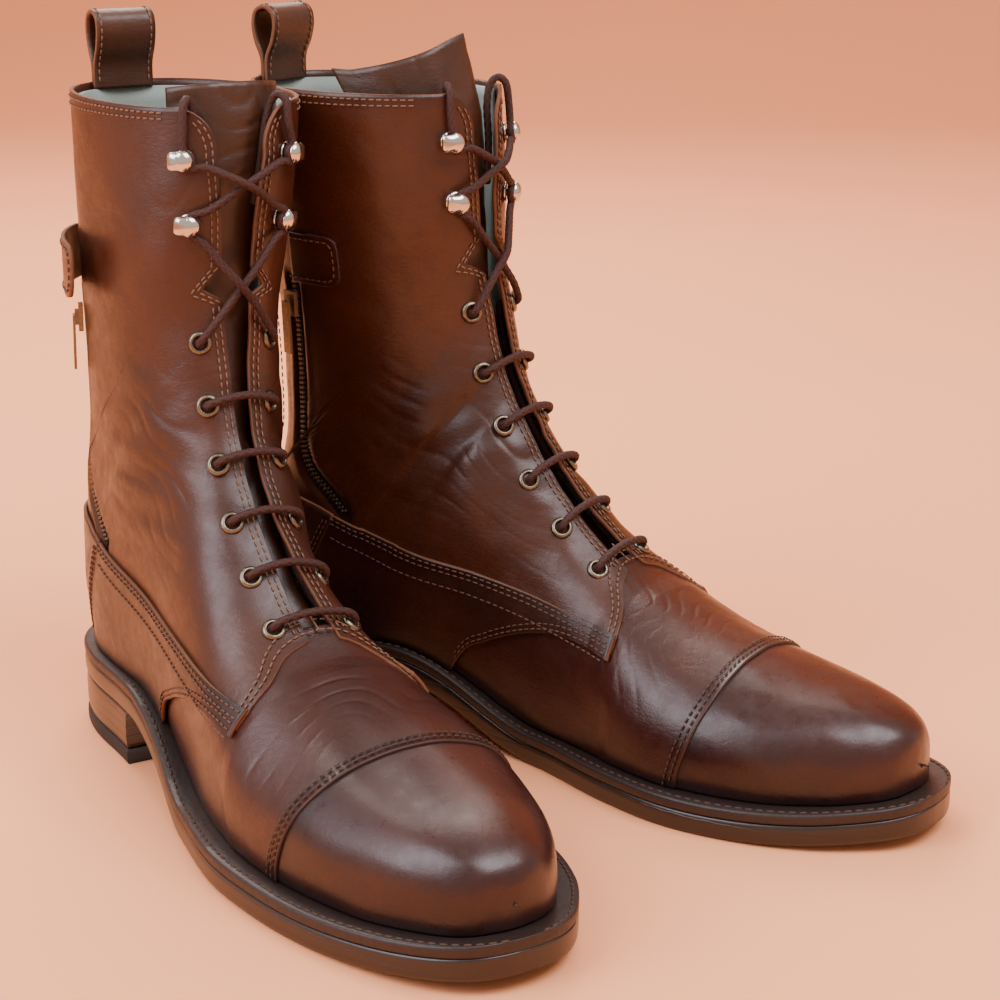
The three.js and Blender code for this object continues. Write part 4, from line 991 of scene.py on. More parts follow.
def make_lining(boot):
    """The lining, open between 22 mm either side of the lacing line where the tongue is."""
    def half(side):
        rows = np.concatenate([np.linspace(0.3, 8, 14), np.linspace(8.4, 22.9, 70)])
        x = np.full(rows.shape, 22.0 if side == 0 else -22.0)
        t0 = np.where(rows > 8.2, facing_place(rows, x)[1], 0)
        t = t0[:, None] + (1 - t0)[:, None] * np.linspace(0, 1, 50)
        s = np.broadcast_to(rows[:, None], t.shape)
        n = last_normal(boot, s, t, side)
        return last_point(boot, s, t, side) + n * LINING_FACE, n
    p, faces, out = back_halves(boot, half)
    lining = make_piece(f"lining_leather_{boot}", "boots", place(p, boot), faces, [lining_calf],
                        out, None, None, 2.2, merge=True)
    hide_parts(f"lining_{boot}")


for boot in BOOTS:
    make_tongue(boot)
    make_lining(boot)
print("tongues and linings made")

# %% [markdown]
# ## Soles and heels
# The outsole is one slab of leather, the welt a narrower ledge above it, and the heel a stack of
# leather layers on a rubber lift. Each is a closed ring of profile points carried round the
# outline of the sole, and closed to a middle line above and below.


# %% Sole shapes
def slab(y0, y1, inset, low, high, belly, count=150):
    """Stations y run with a cosine, closer at the round ends, and x = half width - inset. The
    edge is a rounded profile: it stands out by belly * (1 - v^4), v from -1 below to 1 above."""
    a = np.linspace(0, np.pi, count)
    y = y0 + (y1 - y0) * (1 - np.cos(a)) / 2
    y, shut = np.concatenate([y[:1], y, y[-1:]]), np.concatenate([[0], np.ones(count), [0]])
    v = np.linspace(-1, 1, 11)
    rim = inset - belly * (1 - v**4)
    sides = []
    for side in (0, 1):
        x = np.maximum(sole_half(y, side)[:, None] - rim, 0.0) * shut[:, None]
        z = low(y)[:, None] + (high(y) - low(y))[:, None] * (v + 1) / 2
        edge = np.stack([x if side == 0 else -x, np.broadcast_to(y[:, None], x.shape), z], -1)
        lid = [edge[:, :1] * [f, 1, 1] for f in (0, 0.5, 0.9)]
        roof = [edge[:, -1:] * [f, 1, 1] for f in (0.9, 0.5, 0)]
        ring = np.concatenate(lid + [edge] + roof, 1)
        sides.append(ring[:, ::-1] if side else ring)
    p = np.concatenate(sides, 1)
    return p, grid_faces(*p.shape[:2], close_cols=True)


SOLE_PIECES = {
    "leather_outsole": ("outsole", sole_edge, slab(
        0.4, 304.8, 1.0, lambda y: seat_height(y) - 12.5, lambda y: seat_height(y) - 4.7, 0.8)),
    "stitched_welt": ("welt", welt_leather, slab(
        0.3, 304.9, 0.8, lambda y: seat_height(y) - 4.5, lambda y: seat_height(y) - 0.35, 0.75)),
    "stacked_heel": ("heel_block", heel_stack, slab(
        0.5, 76.3, 1.2, lambda y: 6.2 + 0 * y,
        lambda y: np.minimum(21.6, seat_height(y) - 12.7), 0.6)),
    "heel_top_lift": ("heel_lift", heel_rubber, slab(
        0.4, 77.0, 1.0, lambda y: 0 * y, lambda y: 5.95 + 0 * y, 0.6))}

for boot in BOOTS:
    for name, (node, finish, (p, faces)) in SOLE_PIECES.items():
        piece = make_piece(f"{name}_{boot}", "boots", place(p, boot), faces, [finish], merge=True)
        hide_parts(f"{node}_{boot}")
    for node, finish in (("shank", shank_steel), ("insole", insole_leather),
                         ("toe_puff", fibre_board), ("counter_stiffener", fibre_board)):
        kept = bpy.data.objects[f"{node}_{boot}"]
        for slot_ in kept.material_slots:
            slot_.material = finish
print("soles made")

# %% [markdown]
# ## Stitching
# Every seam is a row of short raised stitches. One small closed shape, a flattened capsule, is
# copied along a path with array arithmetic, turned to the path and to the surface.


# %% Stitches along a path
def capsule():
    """Unit capsule: along u = -1..1, radius (1 - u^4)^(1/2), six points round."""
    u = np.array([-1, -0.72, 0, 0.72, 1.0])
    a = np.arange(6) * np.pi / 3
    r = np.sqrt(1 - u**4)
    p = np.stack([np.broadcast_to(u[:, None], (5, 6)),
                  r[:, None] * np.cos(a), r[:, None] * np.sin(a)], -1)
    return p.reshape(-1, 3), grid_faces(5, 6, close_cols=True)


def spread(p, n, pitch, start=0.0):
    """Points, directions and normals at even steps along a path."""
    d = np.concatenate([[0], np.cumsum(np.linalg.norm(np.diff(p, axis=0), axis=1))])
    at = np.arange(pitch / 2 + start, d[-1], pitch)
    q, m = (np.stack([np.interp(at, d, v[:, k]) for k in range(3)], -1) for v in (p, n))
    ahead = np.stack([np.interp(at + 0.3, d, p[:, k]) for k in range(3)], -1)
    behind = np.stack([np.interp(at - 0.3, d, p[:, k]) for k in range(3)], -1)
    along = unit(ahead - behind)
    m = unit(m - along * np.sum(m * along, -1, keepdims=True))
    return q, along, m


def stamp(shape, q, along, m, size):
    """Copies of a unit shape: centre + along*size1*x + across*size2*y + normal*size3*z."""
    points, faces = shape
    across = np.cross(m, along)
    axes = np.stack([along * size[0], across * size[1], m * size[2]], 1)
    p = q[:, None, :] + np.einsum("vk,nkc->nvc", points, axes)
    f = faces[None] + (np.arange(len(q)) * len(points))[:, None, None]
    return p.reshape(-1, 3), f.reshape(-1, 4)


def sewn(paths, pitch=3.0, size=(1.15, 0.36, 0.3)):
    """One set of stitches for several paths of points and normals."""
    return merge_grids([stamp(capsule(), *spread(p, n, pitch), size) for p, n in paths])


def side_row(boot, y, z, side, offset, wear=1.0):
    """A path given in side view."""
    s, t = side_place(y, z, side)
    return sheet_grid(boot, side, s, t, offset + 0.0 * s, wear)


def facing_row(boot, s, inset, side, offset=-1.1):
    """A path beside the facing's edge."""
    x = (facing_edge(boot, s, side) + inset) * (1 if side == 0 else -1)
    s, t, _ = facing_place(s, x)
    return sheet_grid(boot, side, s, t, offset + 0.0 * s)


def top_row(boot, t, drop, side):
    """A path below the top edge: the section line that lies the given depth under it."""
    s = 23 - drop / (17.5 + 9.5 * t)
    return sheet_grid(boot, side, s, t, -1.15 + 0.0 * s)


print("a stitch has", len(capsule()[1]), "faces")

# %% Seams of the boot
def facing_seams(boot):
    """Two rows beside the facing, round its front and below the top edge, on both sides."""
    runs = []
    for side in (0, 1):
        s = np.concatenate([np.linspace(8.75, 18, 300), np.linspace(18.02, 19, 120),
                            np.linspace(19.02, 22.72, 120)])
        runs += [facing_row(boot, s, d, side) for d in (1.7, 3.9)]
        z = np.linspace(57, 89, 80)
        runs += [side_row(boot, facing_y(z) - d, z, side, -1.05) for d in (1.7, 3.8)]
        t = np.linspace(0.235, 0.94, 200)
        runs += [top_row(boot, t, d, side) for d in (2.1, 4.6)]
    return runs


def foxing_seams(boot):
    """Three rows below the foxing's top, two above its arch, two at the counter, one on the
    back strip at 6.2 mm from the seam."""
    runs = []
    for side in (0, 1):
        y = np.linspace(51, 182, 200)
        runs += [side_row(boot, y, foxing_top(y) - d, side, 0.4, 0.7) for d in (1.5, 3.5, 9.5)]
        y = np.linspace(109, 182.5, 120)
        runs += [side_row(boot, y, foxing_low(y) + d, side, 0.4, 0.7) for d in (1.6, 3.6)]
        z = np.linspace(39, 81, 70)
        runs += [side_row(boot, counter_y(z) - d, z, side, 0.4, 0.5) for d in (1.6, 3.6)]
        s = np.linspace(18.9, 22.9, 100)
        w, rb = section(s, side)[4], section(s, side)[7]
        t = 1 - np.arcsin((6.2 / w)**(1 / rb)) / np.pi
        runs.append(sheet_grid(boot, side, s, t, 0.4 + 0 * s, 0.5))
    return runs


def cap_seams(boot):
    """Two rows behind the cap seam."""
    runs, t = [], np.linspace(0, 0.985, 160)
    for side in (0, 1):
        for d in (2.2, 4.6):
            s = row_crossing(lambda y, z: y - cap_y(z) + d, t, side, boot, 0.2, 9)
            runs.append(sheet_grid(boot, side, s, t, -1.1 + 0 * s))
    return runs


def welt_seams():
    """One row on the welt, 2.6 mm in from its edge, from the toe to the heel on each side."""
    y = np.concatenate([np.linspace(304.2, 290, 60), np.linspace(289.9, 70, 400)])
    runs = []
    for side in (0, 1):
        x = np.maximum(sole_half(y, side) - 2.6, 0)
        q = np.stack([x if side == 0 else -x, y, seat_height(y) - 0.25], -1)
        runs.append((q, np.broadcast_to([0, 0, 1.0], q.shape)))
    return runs


WELT_PITCH, WELT_STITCH = 3.9, (1.45, 0.55, 0.4)
for boot in BOOTS:
    for key, sewing, thread in (
            ("facing", sewn(facing_seams(boot)), tan_thread),
            ("foxing", sewn(foxing_seams(boot)), brown_thread),
            ("cap", sewn(cap_seams(boot)), welt_thread),
            ("welt", sewn(welt_seams(), WELT_PITCH, WELT_STITCH), welt_thread)):
        p, faces = sewing
        make_piece(f"{key}_stitches_{boot}", "boots", place(p, boot), faces, [thread])
print("stitches sewn")

# %% [markdown]
# ## Eyelets and hooks
# Both are turned profiles. The eyelet is a rolled ring of antique nickel, closed across its hole
# by a flat dark disc of painted shade; the hook is a polished dome on a neck, squared off on the
# side of the lacing.


# %% Turned fittings
def fitting_frame(boot, k, side):
    """Centre, up, away-from-centre and outward directions at a fastener."""
    s, x = FASTENER_ROW[k], FASTENER_X[boot][side][k] * (1 if side == 0 else -1)
    p, n = beside_lacing(boot, np.array(s), np.array(x), np.array(-1.5))
    up = beside_lacing(boot, np.array(s + 0.05), np.array(x), np.array(-1.5))[0] - p
    up = unit(up - n * (up @ n))
    away = np.cross(up, n) * (1 if side == 0 else -1)
    return p, up, away, n


def turned_grid(frame_, radius, height, outline=None, count=40):
    """Profile of radius and height spun about the outward direction; the outline scales the
    radius as a function of the angle."""
    p, up, away, n = frame_
    a = np.linspace(0, 2 * np.pi, count, endpoint=False)
    scale = np.ones(count) if outline is None else outline(a)
    r = np.asarray(radius, float)[:, None] * scale
    q = (p + r[..., None] * (np.cos(a)[None, :, None] * away + np.sin(a)[None, :, None] * up)
         + np.asarray(height, float)[:, None, None] * n)
    return q.reshape(-1, 3), grid_faces(len(radius), count, close_cols=True)


def hook_outline(a):
    """Round on the outer side, squared towards the lacing: 1 outside, a rounded square inside."""
    c, s = np.cos(a), np.sin(a)
    square = (np.abs(c / 1.3)**5 + np.abs(s / 0.88)**5)**-0.2
    return np.where(c > 0, 1.0, 1 + (square - 1) * np.clip(-c * 3, 0, 1))


print("outline of the hook, along and across:", hook_outline(np.array([0.0, np.pi / 2])))

# %% Eyelets and hooks
# Profiles of radius and height above the leather. The first two bands of a ring are a flat
# dark disc across its hole: painted shade.
RING = np.array([
    [0, 0.45], [1.2, 0.45], [2.35, 0.42], [2.4, 0.8], [2.6, 1.12], [3.05, 1.3], [3.5, 1.22],
    [3.95, 0.9], [4.25, 0.45], [4.3, -0.4], [2.0, -0.5], [0, -0.5]])
WASHER = np.array([
    [0, 0.9], [2, 0.95], [3.9, 0.7], [4.15, 0.35], [4.0, -0.2], [2.2, -0.4], [0, -0.4]])
DOME = np.array([
    [0, 0.5], [1.6, 0.5], [1.65, 2.7], [2.3, 3.1], [3.3, 3.3], [3.9, 3.6], [4.05, 4.1],
    [3.9, 4.7], [3.35, 5.4], [2.4, 6.0], [1.3, 6.3], [0, 6.4]])
EYELETS, HOLE_SHADE_BANDS = 6, 2


def make_eyelets(boot, side, word):
    """Six rings, each closed across its hole by a dark disc of painted shade, as one piece."""
    rings = [turned_grid(fitting_frame(boot, k, side), *RING.T) for k in range(EYELETS)]
    # the bands of the hole take the dark edge finish: painted shade in the hole
    hole_shade = (np.arange(len(rings[0][1])) // 40 < HOLE_SHADE_BANDS).astype(int)
    p, faces = merge_grids(rings)
    rows = make_piece(f"eyelet_rings_{word}_{boot}", "boots", place(p, boot), faces,
                      [old_nickel, dark_edge], face_slots=np.tile(hole_shade, EYELETS), merge=True)
    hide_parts(f"eyelets_{word}_{boot}")


def make_hook(boot, side, word, k, level):
    """A washer on the leather, and a dome on a neck."""
    here = fitting_frame(boot, k, side)
    p, faces = merge_grids([turned_grid(here, *WASHER.T),
                            turned_grid(here, *DOME.T, hook_outline, 48)])
    hook = make_piece(f"lacing_hook_{level}_{word}_{boot}", "boots", place(p, boot), faces,
                      [nickel], merge=True)
    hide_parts(f"hook_{level}_{word}_{boot}")


for boot in BOOTS:
    for side, word in enumerate(SIDES):
        make_eyelets(boot, side, word)
        make_hook(boot, side, word, 6, "lower")
        make_hook(boot, side, word, 7, "upper")
print("eyelets and hooks set")

# %% [markdown]
# ## Laces
# The lace follows one route: straight bars across the eyelets, runs inside between them, a
# cross at the top eyelet, half turns round the hooks, and both ends tucked into the shaft.


# %% Route of a lace
def lace_points(boot):
    """All points of the lace from its tucked outer end to its tucked inner end."""
    fx = [np.array(FASTENER_X[boot][0]), -np.array(FASTENER_X[boot][1])]
    row = np.array(FASTENER_ROW)

    def line(k0, side0, k1, side1, shares, depths, bow=None):
        u = np.array(shares)
        s = row[k0] + (row[k1] - row[k0]) * u
        x = fx[side0][k0] + (fx[side1][k1] - fx[side0][k0]) * u
        if bow is not None:
            sign = 1 if side0 == 0 else -1
            x = np.interp(s, row, fx[side0]) + bow * np.minimum(1, np.sin(np.pi * u) * 1.25) * sign
        return [tuple(v) for v in np.stack([s, x, np.array(depths) + 0 * u], 1)]

    def bar(k, side):
        return line(k, side, k, 1 - side, [0.1, 0.5, 0.9], [2.1, 2.3, 2.1])

    def run(k0, k1, side, bow):
        shares = [0.2, 0.8] if k1 - k0 == 1 else [0.12, 0.36, 0.64, 0.88]
        return line(k0, side, k1, side, shares, [-7.2] * len(shares), bow)

    def cross(k, side, mid):
        low = 1.9 if k == 5 else 1.6
        return line(k, side, k + 1, 1 - side, [0.16, 0.34, 0.5, 0.66, 0.84],
                    [low, (low + mid) / 2, mid, (1.6 + mid) / 2, 1.5])

    def tuck(side):
        sign = 1 if side == 0 else -1
        return [(s, sign * x, d) for s, x, d in (
            (22.5, 19.5, 1.2), (23.06, 19.2, 0.2), (23.16, 18.9, -2.5), (23.05, 18.4, -5.4),
            (22.6, 17, -7.2), (21.4, 13.6, -7.2), (20.2, 11, -7.2))]

    def solve(items):
        return beside_lacing(boot, *np.array(items).T)[0]

    def half_turn(k, side):
        p, up, away, n = fitting_frame(boot, k, side)
        a = np.radians([-80, -30, 20, 80])[:, None]
        return p + 2.65 * n + 3.3 * (np.sin(a) * up + np.cos(a) * away)

    def into(k, side):
        return [(row[k], fx[side][k], depth) for depth in (0.6, -2.7, -6.2)]

    def out(k, side):
        return into(k, side)[::-1]
    first_a = (into(0, 0) + run(0, 1, 0, 0) + out(1, 0) + bar(1, 0) + into(1, 1)
               + run(1, 3, 1, 3.4) + out(3, 1) + bar(3, 1) + into(3, 0)
               + run(3, 5, 0, 3.4) + out(5, 0) + cross(5, 0, 2.3))
    first_b = (bar(0, 0) + into(0, 1) + run(0, 2, 1, -3.4) + out(2, 1) + bar(2, 1) + into(2, 0)
               + run(2, 4, 0, -3.4) + out(4, 0) + bar(4, 0) + into(4, 1)
               + run(4, 5, 1, 0) + out(5, 1) + cross(5, 1, 5.2))
    end_a = [solve(first_a), half_turn(6, 1), solve(cross(6, 1, 5.4)), half_turn(7, 0),
             solve(tuck(0))]
    end_b = [solve(first_b), half_turn(6, 0), solve(cross(6, 0, 2.4)), half_turn(7, 1),
             solve(tuck(1))]
    return np.concatenate([np.concatenate(end_a)[::-1], np.concatenate(end_b)])


def smooth_path(p, step):
    """Catmull-Rom curve through points, with the square root of the chord as its time, cut at
    even steps of length."""
    first, last = 2 * p[0] - p[1], 2 * p[-1] - p[-2]
    q = np.concatenate([[first], p, [last]])
    k = np.sqrt(np.maximum(np.linalg.norm(np.diff(q, axis=0), axis=1), 1e-6))
    time = np.concatenate([[0], np.cumsum(k)])
    u = np.linspace(0, 1, 24, endpoint=False)[None, :, None]
    a, b, c, d = (q[i:len(q) - 3 + i, None] for i in range(4))
    ta, tb, tc, td = (time[i:len(q) - 3 + i, None, None] for i in range(4))
    t = tb + (tc - tb) * u

    def mix(x, y, tx, ty):
        return x * (ty - t) / (ty - tx) + y * (t - tx) / (ty - tx)
    ab, bc, cd = mix(a, b, ta, tb), mix(b, c, tb, tc), mix(c, d, tc, td)
    dense = mix(mix(ab, bc, ta, tc), mix(bc, cd, tb, td), tb, tc).reshape(-1, 3)
    length = np.concatenate([[0], np.cumsum(np.linalg.norm(np.diff(dense, axis=0), axis=1))])
    at = np.arange(0, length[-1], step)
    return np.stack([np.interp(at, length, dense[:, k_]) for k_ in range(3)], -1), length[-1]


def turning_frames(p):
    """Two directions square to a path that do not twist. Each point's own direction is compared
    with its neighbour's after the least turn between tangents, and the angles are summed up."""
    along = unit(np.gradient(p, axis=0))
    guide = unit(np.cross(along, np.array([0.31, 0.22, 0.92])) + 1e-4)
    guide = unit(guide - along * np.sum(guide * along, -1, keepdims=True))
    side = np.cross(along, guide)
    v = np.cross(along[:-1], along[1:])
    c = np.sum(along[:-1] * along[1:], -1, keepdims=True)
    g = guide[:-1]
    moved_ = g + np.cross(v, g) + np.cross(v, np.cross(v, g)) / (1 + c)
    slip = np.arctan2(np.sum(moved_ * side[1:], -1), np.sum(moved_ * guide[1:], -1))
    turn = np.concatenate([[0], np.cumsum(slip)])[:, None]
    return guide * np.cos(turn) + side * np.sin(turn), -guide * np.sin(turn) + side * np.cos(turn)


print("points on the route of a lace:", len(lace_points("r")))

# %% Braided laces
LACE_STEP, LACE_SIDES, BRAID_LAY = 0.5, 16, 14.0


def make_lace(boot):
    """Tube whose radius follows the braid: two families of strands wind opposite ways, each
    |sin| of twice the angle turned along the lay, and the higher of the two is on top."""
    path, length = smooth_path(lace_points(boot), LACE_STEP)
    a1, a2 = turning_frames(path)
    angle = np.arange(LACE_SIDES) * 2 * np.pi / LACE_SIDES
    run_ = np.arange(len(path)) * LACE_STEP
    wind = 2 * np.pi * run_[:, None] / BRAID_LAY
    swell = np.maximum(np.abs(np.sin(2 * (angle - wind))), np.abs(np.sin(2 * (angle + wind))))**1.5
    radius = 1.4 + 0.3 * (swell - 0.6)
    radius[[0, -1]] = 0.0
    p = path[:, None] + radius[..., None] * (np.cos(angle)[None, :, None] * a1[:, None]
                                            + np.sin(angle)[None, :, None] * a2[:, None])
    uv = np.stack(np.broadcast_arrays(run_[:, None], angle[None] * 1.25), -1)
    # the valleys between strands get a point value that paints them darker: painted shade
    lace = make_piece(f"braided_lace_{boot}", "boots", place(p, boot),
                      grid_faces(*radius.shape, close_cols=True), [lace_cord], None,
                      {"valley_shade": np.clip((0.78 - swell) * 2.4, 0, 1)}, uv, merge=True)
    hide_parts(f"lace_{boot}")
    print("lace", boot, "is", round(length), "mm long")


for boot in BOOTS:
    make_lace(boot)

# %% [markdown]
# ## Straps, patches and pull loops
# These are flat strips of leather with rounded ends. The lateral strap turns on a hinge, so it is
# shaped lying on the leg and then lifted about its sewn end.


# %% Tabs and loops
def tab_grid(y0, y1, z_low, z_high, corner, rows=70, cols=40):
    """Side-view grid of a tab: full height at y0, rounded at y1 by a superellipse of power 3."""
    y = y0 + (y1 - y0) * np.sin(np.linspace(0, np.pi / 2, rows))
    end = np.clip((y - (y1 - corner)) / corner, 0, 1)
    mid, half = (z_low + z_high) / 2, (z_high - z_low) / 2
    shrink = half - corner * (1 - (1 - end**2.4)**(1 / 2.4))
    z = mid + shrink[:, None] * np.linspace(-1, 1, cols)
    return np.broadcast_to(y[:, None], z.shape), z


def turn_about(p, point, axis, degrees):
    """Rodrigues turn about an axis."""
    a, v = np.radians(degrees), p - point
    along = (v @ axis)[..., None] * axis
    return point + along + (v - along) * np.cos(a) + np.cross(axis, v) * np.sin(a)


def rim_path(y0, y1, z_low, z_high, corner, inset):
    """Side-view path along the free edge of a tab, a little inside it."""
    y, z = tab_grid(y0, y1 - inset, z_low + inset, z_high - inset, corner - inset / 2, 60)
    return np.concatenate([y[:, -1], y[::-1, 0]]), np.concatenate([z[:, -1], z[::-1, 0]])


def zip_strip(boot, side, across, u, offset):
    """Points beside the zip line, in side view moved square to it."""
    c = zip_curve(u)
    d = np.gradient(c, axis=0)
    d /= np.linalg.norm(d, axis=1, keepdims=True)
    y = c[:, None, 0] - d[:, None, 1] * across
    z = c[:, None, 1] + d[:, None, 0] * across
    s, t = side_place(y, z, side)
    return sheet_grid(boot, side, s, t, offset + 0 * s, 1.0)


print("points of a tab:", tab_grid(0, 20, 0, 10, 3)[0].shape)

# %% Strap and patch
# Side-view boxes of the two tabs: y from and to, z from and to, radius of the free corners.
STRAP_BOX, STRAP_LIFT = (16, 62, 180.4, 200.6, 8), -9
PATCH_BOX = (37.5, 62.5, 177.3, 197, 6)


def make_strap(boot):
    """The strap lies along the leg, then is turned about the line at its sewn end."""
    low, high = (side_row(boot, np.array(16.0), np.array(z), 0, 1.25, 0)[0] for z in (182.0, 200.0))
    axis = unit(high - low)

    def lifted(p, n):
        return (turn_about(p, low, axis, STRAP_LIFT),
                turn_about(low + n, low, axis, STRAP_LIFT) - low)
    y, z = tab_grid(*STRAP_BOX)
    s, t = side_place(y, z, 0)
    p, n = lifted(*sheet_grid(boot, 0, s, t, STRAP_FACE + 0 * s, 0.3))
    tab = make_piece(f"strap_leather_{boot}", f"strap_{boot}", place(p, boot), grid_faces(*y.shape),
                     [strap_calf, cut_edge], outward_in_frame(n, boot), {"wax_and_shade": wax_and_shade_of(p, -0.1)},
                     None, 1.5)
    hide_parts(f"strap_{boot}")
    y, z = rim_path(*STRAP_BOX, 2)
    p, faces = sewn([lifted(*side_row(boot, y, z, 0, 2.3, 0.3))])
    make_piece(f"strap_stitches_{boot}", f"strap_{boot}", place(p, boot), faces, [brown_thread])


def make_patch(boot):
    """The patch is sewn flat on the inner side."""
    y, z = tab_grid(*PATCH_BOX, 50, 40)
    p, n = side_row(boot, y, z, 1, 0.2)
    make_piece(f"medial_patch_{boot}", "boots", place(p, boot), grid_faces(*y.shape),
               [quarter_calf, dark_edge], outward_in_frame(n, boot), {"wax_and_shade": wax_and_shade_of(p, 0.2)},
               None, 1.6)
    y, z = rim_path(*PATCH_BOX, 2)
    p, faces = sewn([side_row(boot, y, z, 1, 0.5)])
    make_piece(f"patch_stitches_{boot}", "boots", place(p, boot), faces, [brown_thread])


print("strap is", STRAP_BOX[1] - STRAP_BOX[0], "mm long")

# %% Pull loop
# Outline of the folded strip in y and z, from its root on the back of the top edge.
LOOP_ROOT = np.array([7, 254.6])
LOOP = np.array([
    [-1.7, -4.0], [-1.9, 5], [-4.8, 12], [-6, 18.6], [-4.4, 24.2], [0.5, 26.3],
    [5.2, 23.6], [6.3, 18.2], [4.8, 11.6], [1.9, 5], [1.7, -4.0]])
LOOP_HALF_WIDTH, LOOP_ROWS, LOOP_COLS = 12, 90, 14


def make_pull_loop(boot):
    """The smooth outline, carried 12 mm to each side; its outward direction is square to it."""
    k = np.linspace(0, len(LOOP) - 1, LOOP_ROWS)
    stations = np.arange(len(LOOP))
    yz = np.stack([smooth_curve(stations, LOOP[:, j], k) for j in (0, 1)], -1) + LOOP_ROOT
    d = unit(np.gradient(yz, axis=0))
    grid = (LOOP_ROWS, LOOP_COLS)
    x = np.broadcast_to(LOOP_HALF_WIDTH * np.linspace(-1, 1, LOOP_COLS), grid)
    p = np.stack([x, *(np.broadcast_to(yz[:, j, None], grid) for j in (0, 1))], -1)
    n = np.broadcast_to(np.stack([0 * k, -d[:, 1], d[:, 0]], -1)[:, None], p.shape)
    middle = np.array([0, LOOP_ROOT[0], LOOP_ROOT[1] + 16])
    n = n * np.sign(np.sum(n * (p - middle), -1).sum())
    loop = make_piece(f"pull_loop_leather_{boot}", f"pull_loop_{boot}", place(p, boot),
                      grid_faces(*grid), [strap_calf, cut_edge], outward_in_frame(n, boot),
                      {"wax_and_shade": wax_and_shade_of(p, 0.1)}, None, 1.5)
    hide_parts(f"pull_loop_{boot}")
    rows = [(p[3:-3, j] + n[3:-3, j] * 0.25, n[3:-3, j]) for j in (1, LOOP_COLS - 2)]
    p, faces = sewn(rows, 2.8)
    make_piece(f"pull_loop_stitches_{boot}", f"pull_loop_{boot}", place(p, boot), faces,
               [tan_thread])


print("pull loop is", 2 * LOOP_HALF_WIDTH, "mm wide")

# %% Zips
TOOTH_PITCH, TOOTH = 2.0, (0.62, 1.25, 0.6)


def make_zip(boot, side, word):
    """Tape in the groove of the quarter, and two rows of teeth half a pitch apart."""
    u = np.linspace(0, 1, 120)
    p, n = zip_strip(boot, side, np.linspace(-3.1, 3.1, 8), u, TAPE_FACE)
    band = make_piece(f"zip_tape_{word}_{boot}", "boots", place(p, boot), grid_faces(120, 8),
                      [zip_tape], outward_in_frame(n, boot), None, None, 0.6)
    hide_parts(f"zip_{word}_{boot}")
    teeth = []
    for row, start in ((-1, 0.0), (1, TOOTH_PITCH / 2)):
        p, n = zip_strip(boot, side, np.array([row * 0.75]), u, TAPE_FACE + 0.3)
        teeth.append(stamp(capsule(), *spread(p[:, 0], n[:, 0], TOOTH_PITCH, start), TOOTH))
    p, faces = merge_grids(teeth)
    make_piece(f"zip_teeth_{word}_{boot}", "boots", place(p, boot), faces, [zip_metal])
    for slot_ in bpy.data.objects[f"zip_slider_{word}_{boot}"].material_slots:
        slot_.material = old_nickel


for boot in BOOTS:
    make_strap(boot)
    make_patch(boot)
    make_pull_loop(boot)
    for side, word in enumerate(SIDES):
        make_zip(boot, side, word)
print("tabs, loops and zips made")

# %% [markdown]
# ## Floor, light and camera
# A warm pale sweep of paper, one large soft box from the front right and above, a long soft
# rim light from the back left, and a weak fill. Wide lights make long quiet reflections, which
# is how a waxed surface shows its shape.

# %% Stage
LOOK = np.array([0.6847, 0.7288])  # level direction in which the camera looks


def backdrop():
    """Floor that turns up into a wall: height = 0 up to a line, then a quarter circle, then up."""
    a = np.linspace(0, np.pi / 2, 24)
    run = np.concatenate([[-4.0], 1.9 + 0.9 * np.sin(a)])
    rise = np.concatenate([[0.0], 0.9 - 0.9 * np.cos(a)])
    run, rise = np.append(run, 2.8), np.append(rise, 4.0)
    across = np.array([-5.0, 5.0])
    right = np.array([LOOK[1], -LOOK[0]])
    xy = run[:, None, None] * LOOK + across[None, :, None] * right
    p = np.concatenate([xy, np.broadcast_to(rise[:, None, None], xy.shape[:2] + (1,))], -1)
    mesh = bpy.data.meshes.new("paper_sweep")
    mesh.from_pydata(p.reshape(-1, 3), [], grid_faces(len(run), 2)[:, ::-1])
    mesh.polygons.foreach_set("use_smooth", np.full(len(mesh.polygons), True))
    obj = bpy.data.objects.new("paper_sweep", mesh)
    bpy.context.collection.objects.link(obj)
    return obj


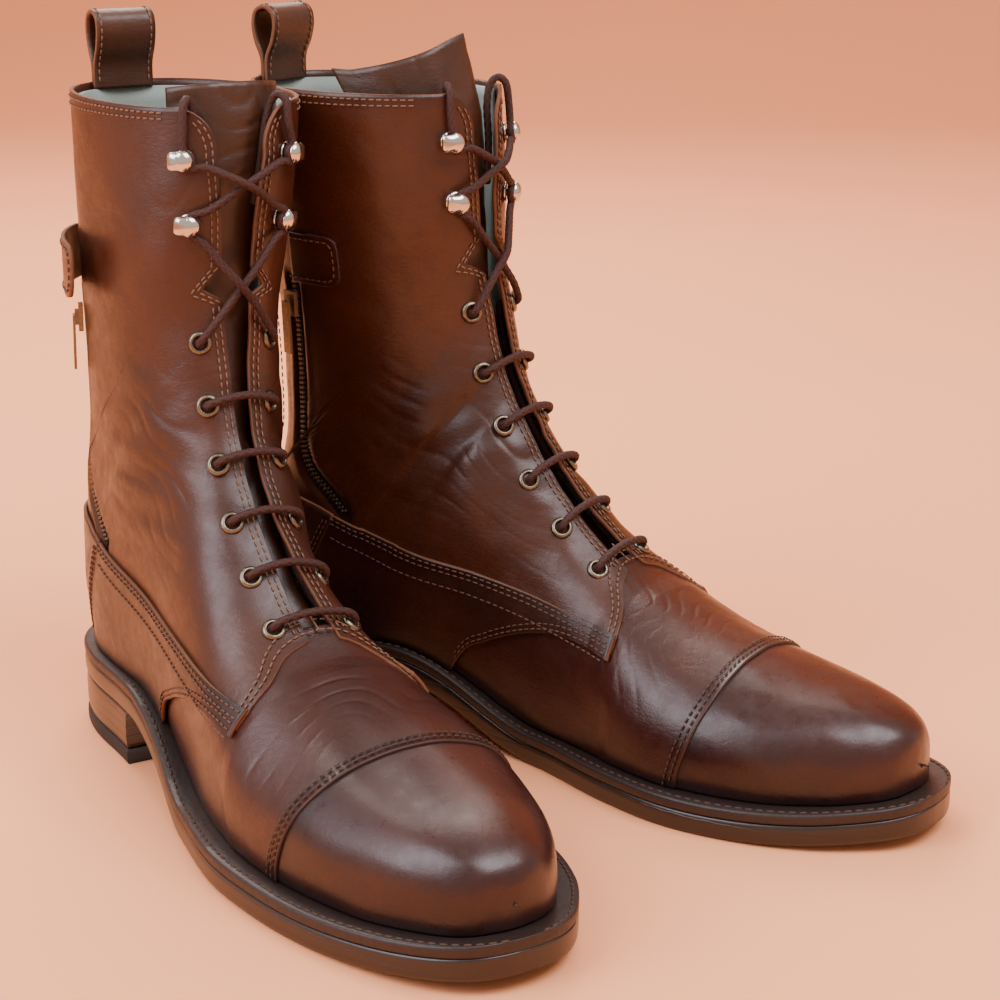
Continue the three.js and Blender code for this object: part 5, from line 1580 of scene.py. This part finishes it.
paper, tree = new_material("matt_background_paper")
fibre = add_node(tree, "TexNoise", None,
                 {"Vector": add_node(tree, "TexCoord").outputs["Object"], "Scale": 2.2,
                  "Detail": 5.0})
tint = add_node(tree, "Mix", {"data_type": "RGBA"},
                {0: fibre.outputs["Fac"], 6: linear("#f9a36f"), 7: linear("#fbaa79")})
finish_material(tree, {"Base Color": tint.outputs[2], "Roughness": 0.9})
sweep = backdrop()
sweep.data.materials.append(paper)


def soft_box(name, place_, target, size, power, colour):
    """A rectangular area light that looks at a target."""
    light = bpy.data.lights.new(name, "AREA")
    light.shape, light.size, light.size_y = "RECTANGLE", size[0], size[1]
    light.energy, light.color = power, linear(colour)[:3]
    obj = bpy.data.objects.new(name, light)
    bpy.context.collection.objects.link(obj)
    obj.location = place_
    back = unit(np.array(place_, float) - np.array(target, float))
    obj.rotation_euler = look_rotation(-back)


def look_rotation(d):
    """Turns that make -Z look along d: tilt = angle from straight down, turn = heading."""
    return (float(np.arccos(np.clip(-d[2], -1, 1))), 0.0, float(np.arctan2(-d[0], d[1])))


soft_box("key_soft_box", (0.15, -0.9, 1.55), (0, 0, 0.1), (1.3, 1.0), 32, "#fbf8ff")
soft_box("side_soft_box", (-1.25, 0.32, 1.1), (0, 0, 0.12), (1.0, 1.3), 27, "#f4f4ff")
soft_box("back_soft_box", (0.5, 1.1, 1.3), (0, 0, 0.1), (1.4, 0.9), 34, "#fff6f0")
print("backdrop made:", sweep.name)

# %% Room light and camera
world = bpy.data.worlds.new("studio_room")
world.use_nodes = True
bpy.context.scene.world = world
world.node_tree.nodes["Background"].inputs["Color"].default_value = linear("#ffe9da")
world.node_tree.nodes["Background"].inputs["Strength"].default_value = 0.85

camera = bpy.data.cameras.new("camera")
camera.sensor_width, camera.lens, camera.shift_y = 36.0, 80.62, -0.0427
camera.clip_start, camera.clip_end = 0.05, 50
eye = bpy.data.objects.new("camera", camera)
bpy.context.collection.objects.link(eye)
eye.location = (-0.52635, -0.58884, 0.34783)
pitch = np.radians(15.697)
eye.rotation_euler = look_rotation(np.array([*LOOK * np.cos(pitch), -np.sin(pitch)]))
bpy.context.scene.camera = eye
print("camera at", tuple(round(v, 3) for v in eye.location))

# %% The end
print("all parts made")
